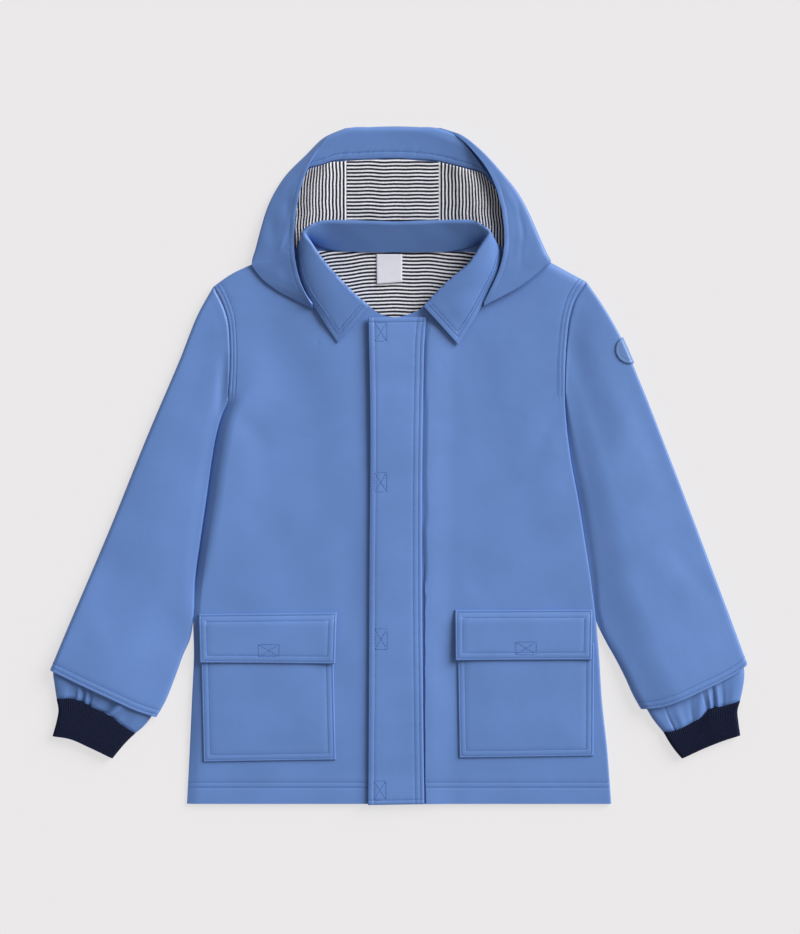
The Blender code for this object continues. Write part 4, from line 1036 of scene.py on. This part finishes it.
def make_sleeve(side):
    out = OUTWARDS[side]
    armhole = [(x + out * SEAM / 3, y) for x, y in reversed(ARMHOLES[side])]
    beside = [(x + out * SLEEVE_CLEAR, y) for x, y in reversed(SIDES[side]) if y > SLEEVE_FREE]
    outer, inner = [armhole[0], *SLEEVE_OUTER[side]], beside + SLEEVE_INNER_FREE[side]
    armhole[-1] = inner[0]
    coarse = fill(run(armhole, 24), run(SLEEVE_HEM[side], 24), run(outer, 60), run(inner, 60))
    outer_roll, inner_roll = SLEEVE_OUTER_ROLL[side], SLEEVE_INNER_ROLL[side]
    plan = regrid(coarse, *GRIDS["sleeve"], roll(outer_roll, 7), roll(inner_roll, 9),
                  near_edge(2.5), near_edge(*SLEEVE_HEM_LINES))
    down = (shares(plan[:, 0]) + shares(plan[:, -1]))[:, None] / 2
    filled = ramp((down - SLEEVE_FILLS_FROM) / (1 - SLEEVE_FILLS_FROM))
    height = CHEST_HEIGHT + (SLEEVE_END_HEIGHT - CHEST_HEIGHT) * filled
    lift = badge_lift(plan) if side == BADGE_SIDE else 0 * down
    folds = rounding(plan, Fold(FIRST, outer_roll),
                     Fold(LAST, inner_roll, read(FOLDED_OVER[side], plan[:, -1, 1])))
    sewn = seam(plan, [TOP], SLEEVE_HEM_LINES, 6.0) + rings(reach(plan, FOOT), JOINT_RINGS)
    soft = (folded(plan, SLEEVE_CREASES[side]) + uneven("sleeve", along_edges(plan, EDGES))
            + dome(plan, side) - valley(plan, side))
    front = tube(f"sleeve_{side}", plan, folds, lift + height / 2, height / 2, front=sewn + soft,
                 back=dents(sewn), rests_on=["back"])
    stitch_along("topstitching_sleeves", front, SLEEVE_HEM_LINES, TOP)
    return plan


def gathered(across, down, gathers):
    return sum(height * bell(across - place - slant * (1 - down), width)
               for place, width, height, slant in gathers)


def make_inner_cuff(side):
    coarse = fill(run(CUFF_TOP[side], 40), run(RIB_SEAM[side], 40), run(CUFF_OUTER[side], 16),
                  run(CUFF_INNER[side], 16))
    over = roll(CUFF_ROLL, 7)
    plan = regrid(coarse, *GRIDS["inner_cuff"], over, over, (0,), near_edge())
    down = np.linspace(0, 1, len(plan))[:, None]
    across = reach(plan, FIRST) / reach(plan, FIRST)[:, -1:]
    floor = (WALL + CUFF_CLEAR) * ramp(CUFF_DROP * (1 - down))
    start, end = GATHERED
    lift = gathered(across, down, GATHERS[side]) * ramp((down - start) / (end - start))
    folds = rounding(plan, Fold(FIRST, CUFF_ROLL), Fold(LAST, CUFF_ROLL))
    drawn_in = -CUFF_SINK * bell(reach(plan, TOP), 1.6)
    tube(f"inner_cuff_{side}", plan, folds, floor + CUFF_HEIGHT / 2, CUFF_HEIGHT / 2, CUFF_WALL,
         front=drawn_in, back=-drawn_in, lift=lift, rests_on=[f"sleeve_{side}"])


def make_rib_cuff(side):
    top = [(x, y - RIB_CLEAR) for x, y in RIB_SEAM[side]]
    columns = RIBS * RIB_POINTS + 1
    outer, inner = [top[0], *RIB_OUTER[side]], [top[-1], *RIB_INNER[side]]
    plan = fill(run(top, columns), run(RIB_FOOT[side], columns), run(outer, 14), run(inner, 14))
    half = CUFF_HEIGHT / 2
    folds = rounding(plan, Fold(FIRST, RIB_ROLL), Fold(LAST, RIB_ROLL))
    turn = np.arange(columns) / RIB_POINTS * 2 * math.pi
    ends = 1 - 0.5 * bell(nearest(plan, (FOOT, TOP)), 1.2)
    relief = RIB_RELIEF * (0.5 - 0.5 * np.cos(turn)) * ends
    tube(f"rib_cuff_{side}", plan, folds, half + RIB_BASE, half, RIB_WALL, front=relief,
         back=-np.minimum(relief, RIB_BASE), slot="rib_knit", rests_on=[f"inner_cuff_{side}"],
         chart=knit_chart(plan, columns))


def knit_chart(plan, columns):
    """Places on the rib knit, in ribs across and in millimetres along, on both layers."""
    across = np.broadcast_to(np.arange(columns) / RIB_POINTS, plan.shape[:2])
    front = np.stack([across, reach(plan, FOOT)], axis=-1)
    return np.concatenate([front, front[:, -2:0:-1]], axis=1)


def make_badge(sleeve_plan):
    """A round rubber patch with a raised rim, bent round the fold of the sleeve's outer edge."""
    rows, columns = 40, 49
    edge = sleeve_plan[::-1, 0]
    way, up = unit(np.gradient(edge, axis=0)), lengths(edge)
    centre = np.interp(BADGE_HEIGHT, edge[:, 1], up)
    half = CHEST_HEIGHT / 2
    turns = np.linspace(-math.pi / 2, math.pi / 2, 121)
    deep, high = SLEEVE_OUTER_ROLL[BADGE_SIDE] * (1 - np.cos(turns)), half * np.sin(turns)
    arc = lengths(np.column_stack([deep, high]))
    arc -= arc[-1] / 2
    grids = []
    for raised in (True, False):
        grid = []
        for share in np.sin(np.linspace(-1, 1, rows) * math.asin(BADGE_ENDS)):
            x, y, inward_x, inward_y = (np.interp(centre + share * BADGE_RADIUS, up, values)
                                        for values in (*edge.T, -way[:, 1], way[:, 0]))
            width = BADGE_RADIUS * math.sqrt(1 - share * share)
            across = np.sin(np.linspace(-1, 1, columns) * math.pi / 2) * width
            from_rim = BADGE_RADIUS - np.hypot(across, share * BADGE_RADIUS)
            domed = BADGE_THICK * (0.3 + 0.7 * np.sqrt(1 - np.clip(1 - from_rim, 0, 1) ** 2))
            out = BADGE_GAP + (domed + rings(from_rim, BADGE_RINGS) if raised else 0 * across)
            turn = np.interp(across, arc, turns)
            over_flat = np.maximum(np.abs(across) - arc[-1], 0)
            far = np.interp(across, arc, deep) + over_flat - out * np.cos(turn)
            z = BADGE_LIFT + half + np.interp(across, arc, high) + out * np.sin(turn)
            grid.append(np.column_stack([x + inward_x * far, y + inward_y * far, np.maximum(z, 0)]))
        grids.append(np.array(grid))
    piece = shell("badge_patch", *grids, MATERIALS["badge_rubber"])
    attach(piece, "root")
    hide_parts("badge")


# Placket and pockets

def placket_lift(plan):
    """How far the flap's free edge stands off the fronts, more towards the neck."""
    stand = read(PLACKET_STANDS, plan[..., 1])
    return stand * np.clip(1 - reach(plan, FIRST) / PLACKET_SPREAD, 0, 1)


def make_placket():
    free, sewn = (run(edge, 60) for edge in (PLACKET_FREE_EDGE, PLACKET_SEWN_EDGE))
    coarse = fill(run([free[0], sewn[0]], 9), run([free[-1], sewn[-1]], 9), free, sewn)
    ends = near_edge(PLACKET_END_LINE)
    plan = regrid(coarse, *GRIDS["placket"], near_edge(*PLACKET_FREE_LINES),
                  near_edge(*PLACKET_SEWN_LINES), ends, ends)
    relief = (seam(plan, [FIRST], PLACKET_FREE_LINES, 1.5)
              + seam(plan, [LAST], PLACKET_SEWN_LINES, 2.5)
              + seam(plan, (FOOT, TOP), (PLACKET_END_LINE,), 3.5)
              + sum(box_relief(plan, box) for box in PLACKET_BOXES)
              + uneven("placket", plan[..., 1]))
    base = coat_top(plan) + GAP + placket_lift(plan)
    outer = laid_on("placket_flap", plan, base, PLACKET_THICK, relief,
                    rests_on=["front_right", "front_left"])
    for lines, edge in ((PLACKET_FREE_LINES, FIRST), (PLACKET_SEWN_LINES, LAST),
                        ((PLACKET_END_LINE,), FOOT), ((PLACKET_END_LINE,), TOP)):
        stitch_along("topstitching_placket", outer, lines, edge)
    for box in PLACKET_BOXES:
        stitch_box("topstitching_placket", box, outer)


def make_pocket(side):
    plan = quad(POCKETS[side], *GRIDS["pocket"], *POCKET_LINES)
    sewn = (FIRST, LAST, FOOT)
    relief = (seam(plan, sewn, POCKET_LINES, 4.5)
              + POCKET_BELLY * ramp(nearest(plan, sewn) / POCKET_SPREAD))
    outer = laid_on(f"pocket_{side}", plan, coat_top(plan) + GAP, POCKET_THICK, relief,
                    rests_on=[f"front_{side}"])
    stitch_round("topstitching_pockets", outer, POCKET_LINES, sewn)


def make_pocket_flap(side):
    plan = quad(FLAPS[side], *GRIDS["pocket_flap"], *FLAP_LINES)
    box = FLAP_BOXES[side]
    relief = seam(plan, EDGES, FLAP_LINES, 5.5) + box_relief(plan, box)
    below_top = reach(plan, TOP)
    corner = bell(reach(plan, LAST), 14) + 0.3 * bell(reach(plan, FIRST), 12)
    stand = ramp(below_top / 46) * (FLAP_STAND + FLAP_CORNER * corner)
    climb = (POCKET_THICK + GAP) * ramp(below_top / FLAP_STEP)
    outer = laid_on(f"pocket_flap_{side}", plan, coat_top(plan) + GAP + climb + stand, FLAP_THICK,
                    relief, rests_on=[f"pocket_{side}", f"front_{side}"])
    stitch_round("topstitching_pockets", outer, FLAP_LINES, EDGES)
    stitch_box("topstitching_pockets", box, outer)


# Hood

def hood_section(plan, heights, full, fall):
    """One section of a hood side: from its opening edge, round its fold, and back underneath."""
    outline, edge, under = plan[0:2], plan[2:4], plan[4:6]
    edge_z, under_z = heights
    below = unit(under - outline)
    foot, fold_z = outline + below * HOOD_FOLD, under_z + HOOD_FOLD
    edge_z = SHOULDER_HEIGHT + (edge_z - SHOULDER_HEIGHT) * full
    rim_z = max(edge_z - fall, fold_z + HOOD_RIM)
    points = [(*(edge + (outline - edge) * share),
               fold_z + (edge_z + (rim_z - edge_z) * share - fold_z)
               * (1 - share ** HOOD_BLUNT) ** (1 / HOOD_BLUNT))
              for share in 1 - np.linspace(1, 0, HOOD_FACE + 1)[:-1] ** 2]
    points += [(*(outline + below * HOOD_FOLD * (1 - math.cos(turn))),
                fold_z + HOOD_FOLD * math.sin(turn)) for turn in np.linspace(0, -math.pi / 2, 7)]
    points += [(*(foot + (under - foot) * share), under_z) for share in np.linspace(0, 1, 7)[1:]]
    return points


def make_hood_side(side):
    last = len(HOOD_HEIGHTS) - 1
    stations = np.linspace(0, last, 90)
    shape = HOOD_SHAPES[side]
    plans = between(HOOD_PLANS[side], stations)
    heights = between(HOOD_HEIGHTS, np.interp(stations, (0, 1, HOOD_FULL, last),
                                              (0, shape.soon, HOOD_FULL, last)))
    full = shape.above + (shape.below - shape.above) * ramp((stations - 4) / 5)
    coarse = np.array([hood_section(p, h, f, shape.fall) for p, h, f in zip(plans, heights, full)])
    grid = np.array([joined(run(line[:HOOD_FACE + 1], 24, near_edge(HOOD_EDGE_LINE), NEAR_FOLD),
                            run(line[HOOD_FACE:], 12, NEAR_FOLD)) for line in coarse])
    at_fold = 24 + len(near_edge(HOOD_EDGE_LINE)) + len(NEAR_FOLD) - 3
    width = np.linalg.norm(plans[:, 2:4] - plans[:, 0:2], axis=1)[:, None]
    across = reach(grid, FIRST)
    upper = ramp(1.6 - across / np.maximum(width, 1))
    open_width = ramp((width - 8) / 14)
    relief = seam(grid, [FIRST], (HOOD_EDGE_LINE,), 7.0, swell=0.25, groove=0.12) * open_width
    soft = folded(grid, HOOD_CREASES[side]) + uneven("hood side", reach(grid, FOOT))
    lift = (relief + soft * open_width) * upper
    thin = 1 - 0.6 * bell(across, 3, across[:, [at_fold]])
    inner = grid + OUTWARDS[side] * WALL * normals(grid) * thin[..., None]
    on_surface = grid[..., 2] < RESTING
    inner[..., 2] = np.where(on_surface, WALL, inner[..., 2])
    outer = grid + with_z(0 * grid[..., :2], lift * (~on_surface))
    outer[..., 2] = np.maximum(outer[..., 2], 0)
    cloth(f"hood_side_{side}", outer, inner, held="folded", rests_on=["front_" + side, "back"])


def make_hood_centre():
    first_x, last_x = GUSSET["right"], GUSSET["left"]
    neck = run([(x, y + SEAM) for x, y in BACK_NECK if first_x < x < last_x], 5)
    neck = run([(first_x, neck[0][1] + 2 * SEAM), *neck, (last_x, neck[-1][1] + 2 * SEAM)], 12)
    corners = [(x, HOOD_TOP - BRIM_DROP) for x in (first_x, last_x)]
    brim = run([corners[0], (0.0, HOOD_TOP), corners[1]], 12)
    coarse = fill(neck, brim, run([neck[0], brim[0]], 8), run([neck[-1], brim[-1]], 8))
    plan = regrid(coarse, *GRIDS["hood_centre"], near_edge(2.0), near_edge(2.0))
    relief = dents(seam(plan, (FIRST, LAST), (2.0,), 1.0))
    cloth("hood_centre", with_z(plan, WALL), with_z(plan, relief))


def make_hood_facing():
    foot, top = run(FACING_FOOT, 40), run(FACING_TOP, 40)
    coarse = fill(foot, top, run([foot[0], top[0]], 6), run([foot[-1], top[-1]], 6))
    plan = regrid(coarse, *GRIDS["hood_facing"], near_edge(), near_edge(), near_edge(FACING_LINE),
                  near_edge(2.4))
    across, up = reach(plan, FIRST), reach(plan, FOOT)
    relief = seam(plan, [FOOT], (FACING_LINE,), 2.0, swell=0.1)
    gathers = uneven("facing gathers", across) * bell(up, 4.5, FACING_LINE)
    tilt = BRIM_RISE * np.clip(up / 30, 0, 1)
    soft = uneven("facing", across) * ramp(up / 12)
    outer = laid_on("hood_facing", plan, WALL + GAP, FACING_THICK, relief + gathers + tilt + soft,
                    top_ease=5.0, rests_on=["hood_centre"])
    stitch_along("topstitching_hood", outer, (FACING_LINE,), FOOT)


def under_facing(start_x, end_x):
    """A lining's top seam, along the facing's foot from one place to another."""
    places = np.linspace(start_x, end_x, 20)
    return np.column_stack([places, read(FACING_FOOT, places) - SEAM])


def make_hood_lining(name, start_x, outer, top, across):
    """A panel of the striped lining. Its stripes run across it, or up it beside its seam."""
    places = np.linspace(start_x, top[-1][0], len(top))
    foot = np.column_stack([places, read(LINING_NECK, places)])
    first = run([foot[0], *outer], 20)
    top[0] = first[-1]
    coarse = fill(foot, top, first, run([foot[-1], top[-1]], len(first)))
    plan = regrid(coarse, *GRIDS["hood_lining"], *[near_edge()] * 4)
    x, y = plan[..., 0], plan[..., 1]
    rise = rounding(plan, Fold(LAST, 1.0, 0.6), Fold(TOP, 2.0)).rise
    base = WALL + GAP
    if across:
        rise = rise * rounding(plan, Fold(FIRST, 1.0, 0.6)).rise
        wave = uneven("lining along", y + 0.1 * x) + uneven("lining across", x)
        tuck = TUCK_HEIGHT * bell(y - TUCK_AT + 0.03 * (x - 20), TUCK_WIDTH) * ramp((x + 6) / 22)
        stripes = (y + uneven("centre stripes", x)) / STRIPE_PITCH
        height = LINING_STAND + wave + tuck
    else:
        out = reach(plan, LAST)
        share = out / out[:, :1]
        bulge = LINING_BULGE * ramp(share / 0.55) * ramp((1 - share) / 0.5)
        height = LINING_STAND + uneven("lining side", out + 0.1 * y) + bulge
        stripes = (out * (1 + 0.16 * share ** 2) + uneven("side stripes", y) * ramp(out / 9)
                   ) / STRIPE_PITCH + 0.27
    chart = np.stack([x + y, stripes], axis=-1)
    bottom = base + np.maximum(height - LINING_STAND, 0) * rise
    face = base + JERSEY * (0.4 + 0.6 * rise) + height * rise
    cloth(name, with_z(plan, face), with_z(plan, bottom), "striped_jersey", chart=chart,
          rests_on=["hood_centre"])


def make_hood_linings():
    top = under_facing(GUSSET["right"], GUSSET["left"])
    make_hood_lining("hood_lining_centre", GUSSET["right"], [top[0].copy()], top, True)
    for side, outer in LINING_OUTER.items():
        top = under_facing(outer[-1][0], GUSSET[side] + OUTWARDS[side] * 0.1)
        make_hood_lining(f"hood_lining_{side}", OUTWARDS[side] * LINING_HALF, outer, top, False)


# Collar and neck

def collar_section(row, out):
    """One section of the collar: neck seam, up the stand, over the crest, down to the edge."""
    neck, crest, edge = row[0:2], row[2:4], row[4:6]
    neck_z, crest_z, edge_z, belly = row[6:]
    bend_z = crest_z - CREST_RADIUS
    climb = math.atan2(crest_z - neck_z, (crest - neck) @ out)
    drop = math.atan2(crest_z - edge_z - 4 * belly * BELLY_RISE, (edge - crest) @ out + 4 * belly)
    start, end = math.pi / 2 + climb, math.pi / 2 - drop
    arc = [(*(crest + out * CREST_RADIUS * math.cos(turn)), bend_z + CREST_RADIUS * math.sin(turn))
           for turn in np.linspace(start, end, 11)]
    stand, fall = np.array(arc[0]), np.array(arc[-1])
    foot, tip = np.array([*neck, neck_z]), np.array([*edge, edge_z])
    swell = belly * np.array([*out, BELLY_RISE])
    return [*(foot + (stand - foot) * share for share in np.linspace(0, 1, 7)[:-1]), *arc,
            *(fall + (tip - fall) * share + swell * 4 * share * (1 - share)
              for share in np.linspace(0, 1, 10)[1:])]


def make_collar():
    right, left = ([(*p, *h) for p, h in zip(COLLAR_PLANS[side], COLLAR_HEIGHTS)]
                   for side in ("right", "left"))
    rows = right + left[-2::-1]
    sections = between(rows, np.linspace(0, len(rows) - 1, 121))
    along = np.gradient(sections[:, 2:4], axis=0)
    outward = unit(np.stack([-along[:, 1], along[:, 0]], axis=1))
    coarse = np.array([collar_section(row, out) for row, out in zip(sections, outward)])
    lines = near_edge(*COLLAR_LINES)
    grid = regrid(coarse, *GRIDS["collar"], (0,), lines, lines, lines)
    over = reach(coarse, FIRST)[:, COLLAR_OVER]
    over = np.interp(shares(grid[:, 20]), shares(coarse[:, COLLAR_OVER]), over)
    fallen = ramp((reach(grid, FIRST) - over[:, None]) / 3)
    relief = seam(grid, (LAST, FOOT, TOP), COLLAR_LINES, 8.0, swell=0.07, groove=0.2) * fallen
    soft = uneven("collar", reach(grid, FOOT)) * np.sin(
        math.pi * reach(grid, FIRST) / (reach(grid, FIRST) + reach(grid, LAST)))
    outer = grid - normals(grid) * (COLLAR_WALL + relief + soft)[..., None]
    cloth("collar", outer, grid, held="folded", rests_on=["front_right", "front_left"])
    for line in COLLAR_LINES:
        k = place_of(line, COLLAR_LINES)
        start = int(np.argmax(fallen[k] > 0.5))
        for path in (outer[k, start:-1 - k], outer[k:-k, -1 - k], outer[-1 - k, start:-1 - k]):
            stitch("topstitching_collar", path)


def make_back_lining():
    plan = quad(BACK_LINING, *GRIDS["back_lining"])
    x, y = plan[..., 0], plan[..., 1]
    arch = STRIPE_ARCH * ((x / ARCH_HALF) ** 2 * np.where(x < 0, 1.5, 1))
    stripes = (y + arch + uneven("back stripes", x)) / STRIPE_PITCH
    height = uneven("back lining", y + 0.2 * x) + 0.25
    base = WALL + GAP
    cloth("back_lining", with_z(plan, base + JERSEY + height), with_z(plan, base), "striped_jersey",
          chart=np.stack([x, stripes], axis=-1), rests_on=["back"])


def make_neck_label():
    plan = quad(LABEL, *GRIDS["neck_label"])
    base = WALL + JERSEY + 3 * GAP + LABEL_STAND
    bow = LABEL_BOW * ramp(reach(plan, TOP) / 30)
    laid_on("neck_label", plan, base + bow, LABEL_THICK, slot="label_tape",
            rests_on=["back_lining"], chart=plan[..., :2].copy())


# Materials

class Nodes:
    """A material's node tree, with short calls that add a node and link its inputs."""

    def __init__(self, name, **surface):
        self.material = bpy.data.materials.new(name)
        self.material.use_nodes = True
        self.tree = self.material.node_tree
        self.surface = self.tree.nodes["Principled BSDF"]
        for socket, value in surface.items():
            self.surface.inputs[socket.replace("_", " ")].default_value = value

    def add(self, kind, settings=None, **inputs):
        node = self.tree.nodes.new("ShaderNode" + kind)
        for setting, value in (settings or {}).items():
            setattr(node, setting, value)
        for socket, value in inputs.items():
            index = int(socket[1:]) if socket[0] == "i" and socket[1:].isdigit() else socket
            self.put(node.inputs[index], value)
        return node

    def put(self, socket, value):
        if isinstance(value, bpy.types.NodeSocket):
            self.tree.links.new(value, socket)
        else:
            socket.default_value = value

    def math(self, operation, a, b=0.0):
        return self.add("Math", {"operation": operation}, i0=a, i1=b).outputs[0]

    def noise(self, scale, detail=2.0, roughness=0.5):
        """Noise fixed to the object, scale features to the millimetre."""
        place = self.add("TexCoord").outputs["Object"]
        spread = self.add("Mapping", Vector=place, Scale=[scale / MM] * 3)
        return self.add("TexNoise", Vector=spread.outputs[0], Scale=1.0, Detail=detail,
                        Roughness=roughness).outputs["Fac"]

    def chart(self):
        """The two coordinates of a piece's own chart."""
        place = self.add("UVMap", {"uv_map": "chart"}).outputs[0]
        split = self.add("SeparateXYZ", Vector=place)
        return split.outputs[0], split.outputs[1]

    def between(self, share, low, high):
        """A colour between low and high."""
        mix = self.add("Mix", {"data_type": "RGBA"}, Factor=share)
        self.put(mix.inputs[6], (*low, 1))
        self.put(mix.inputs[7], (*high, 1))
        return mix.outputs[2]

    def steps(self, value, low, high):
        """value's place between low and high, from 0 to 1 and smooth at both ends."""
        span = self.add("MapRange", {"interpolation_type": "SMOOTHSTEP"}, Value=value)
        self.put(span.inputs["From Min"], low)
        self.put(span.inputs["From Max"], high)
        return span.outputs[0]

    def colour(self, socket):
        self.put(self.surface.inputs["Base Color"], socket)

    def bump(self, height, distance):
        node = self.add("Bump", Height=height, Distance=distance * MM, Strength=1.0)
        self.put(self.surface.inputs["Normal"], node.outputs[0])


def tint(colour, share):
    return tuple(c * share for c in colour)


def coated_fabric():
    """Polyurethane-coated cloth: soft and rubbery, with a fine grain and faint cloudiness."""
    m = Nodes("coated_fabric_look", Roughness=0.5, Specular_IOR_Level=0.42, Coat_Weight=0.06,
              Coat_Roughness=0.35)
    cloud = m.steps(m.noise(0.022, 3.0), 0.3, 0.7)
    m.colour(m.between(cloud, tint(FABRIC, 0.965), tint(FABRIC, 1.035)))
    grain = m.math("ADD", m.noise(1.6, 3.0, 0.6), m.math("MULTIPLY", m.noise(0.09, 2.0), 1.6))
    m.bump(grain, 0.09)
    return m.material


def thread():
    m = Nodes("thread_look", Roughness=0.6, Specular_IOR_Level=0.3)
    twist = m.noise(1.2, 1.0)
    m.colour(m.between(twist, tint(THREAD, 0.85), tint(THREAD, 1.15)))
    return m.material


def striped_jersey():
    """White and navy stripes in the knit itself, with its fine columns of loops."""
    m = Nodes("striped_jersey_look", Roughness=0.85, Specular_IOR_Level=0.25, Sheen_Weight=0.1)
    across, stripes = m.chart()
    ragged = m.math("MULTIPLY", m.math("SUBTRACT", m.noise(0.7, 2.0), 0.5), 0.16)
    turn = m.math("FRACT", m.math("ADD", stripes, ragged))
    from_middle = m.math("MULTIPLY", m.math("ABSOLUTE", m.math("SUBTRACT", turn, 0.5)), 2.0)
    m.colour(m.between(m.steps(from_middle, 0.35, 0.51), STRIPE_WHITE, STRIPE_NAVY))
    loops = m.math("SINE", m.math("MULTIPLY", across, 2 * math.pi / 0.9))
    courses = m.math("SINE", m.math("MULTIPLY", stripes, 2 * math.pi * 5))
    knit = m.math("ADD", loops, m.math("ADD", m.math("MULTIPLY", courses, 0.6), m.noise(0.8, 2.0)))
    m.bump(knit, 0.05)
    return m.material


def rib_knit():
    """Dark ribs of knit loops, with painted shade that makes the colour darker between the ribs."""
    m = Nodes("rib_knit_look", Roughness=0.95, Specular_IOR_Level=0.06)
    across, down = m.chart()
    rib = m.math("COSINE", m.math("MULTIPLY", across, 2 * math.pi))
    crown = m.math("ABSOLUTE", m.math("SUBTRACT", m.math("FRACT", across), 0.5))
    slant = m.math("ADD", m.math("MULTIPLY", down, 2 * math.pi / 1.5),
                   m.math("MULTIPLY", crown, 9.0))
    loops = m.math("SINE", slant)
    # painted shade: the colour is darker in the valleys between the ribs, where shade falls
    painted_rib_shade = m.steps(m.math("ADD", m.math("MULTIPLY", rib, -1.0), m.noise(0.5, 2.0)), -0.8, 1.4)
    m.colour(m.between(painted_rib_shade, tint(RIB, 0.82), tint(RIB, 1.14)))
    m.bump(m.math("ADD", loops, m.noise(0.9, 2.0)), 0.12)
    return m.material


def label_tape():
    """Plain satin-woven tape."""
    m = Nodes("label_tape_look", Roughness=0.55, Specular_IOR_Level=0.4, Sheen_Weight=0.1)
    across, up = m.chart()
    weft = m.math("SINE", m.math("MULTIPLY", up, 2 * math.pi / 0.45))
    warp = m.math("SINE", m.math("MULTIPLY", across, 2 * math.pi / 0.8))
    weave = m.math("ADD", weft, m.math("MULTIPLY", warp, 0.5))
    m.colour(m.between(m.noise(0.15, 3.0), tint(LABEL_WHITE, 0.95), tint(LABEL_WHITE, 1.03)))
    m.bump(m.math("ADD", weave, m.noise(0.2, 2.0)), 0.04)
    return m.material


def badge_rubber():
    m = Nodes("badge_rubber_look", Roughness=0.42, Specular_IOR_Level=0.5)
    m.colour(m.between(m.noise(0.2, 2.0), tint(BADGE_BLUE, 0.96), tint(BADGE_BLUE, 1.04)))
    m.bump(m.noise(1.5, 3.0), 0.03)
    return m.material


def floor_look():
    m = Nodes("floor_look", Roughness=0.9, Specular_IOR_Level=0.1, Emission_Color=(*FLOOR, 1),
              Emission_Strength=FLOOR_GLOW * OPEN_LIGHT)
    colour = tint(FLOOR, 1 - FLOOR_GLOW)
    m.colour(m.between(m.noise(0.002, 1.0), tint(colour, 0.998), tint(colour, 1.002)))
    return m.material


# Floor, light and camera

def make_stage():
    mesh = bpy.data.meshes.new("floor")
    r = FLOOR_SIZE / 2
    mesh.from_pydata([(-r, -r, 0), (r, -r, 0), (r, r, 0), (-r, r, 0)], [], [(0, 1, 2, 3)])
    mesh.materials.append(floor_look())
    floor = placed("floor", mesh)
    floor.location.z = -FLOOR_DROP


def make_light():
    scene = bpy.context.scene
    world = bpy.data.worlds.new("studio")
    world.use_nodes = True
    background = world.node_tree.nodes["Background"]
    background.inputs["Color"].default_value = (*SKY, 1)
    background.inputs["Strength"].default_value = SKY_STRENGTH
    scene.world = world
    sun = bpy.data.lights.new("key", "SUN")
    sun.energy = KEY_STRENGTH
    sun.angle = math.radians(KEY_ANGLE)
    placed("key", sun).rotation_euler = (math.radians(90 - KEY_ELEVATION), 0,
                                         math.radians(90 + KEY_AZIMUTH))
    scene.view_settings.view_transform = "Standard"


def make_camera():
    data = bpy.data.cameras.new("camera")
    data.sensor_width = SENSOR
    data.lens = SENSOR * CAMERA_HEIGHT / FRAME_HEIGHT
    data.clip_end = 100
    camera = placed("camera", data)
    camera.location = (*CAMERA_AT, CAMERA_HEIGHT)
    bpy.context.scene.camera = camera


low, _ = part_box("hood_centre")
SHIFT = np.array([low.x / MM - GUSSET["right"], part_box("back")[0].y / MM, 0.0])
MATERIALS = {make.__name__: make() for make in (coated_fabric, striped_jersey, rib_knit,
                                                label_tape, badge_rubber, thread)}

make_camera()
make_stage()
make_light()
make_back()
sleeve_plans = {}
for wearer_side in OUTWARDS:
    make_front(wearer_side)
    sleeve_plans[wearer_side] = make_sleeve(wearer_side)
    make_inner_cuff(wearer_side)
    make_rib_cuff(wearer_side)
    make_pocket(wearer_side)
    make_pocket_flap(wearer_side)
    make_hood_side(wearer_side)
make_badge(sleeve_plans[BADGE_SIDE])
make_placket()
make_hood_centre()
make_hood_facing()
make_hood_linings()
make_collar()
make_back_lining()
make_neck_label()
make_threads()
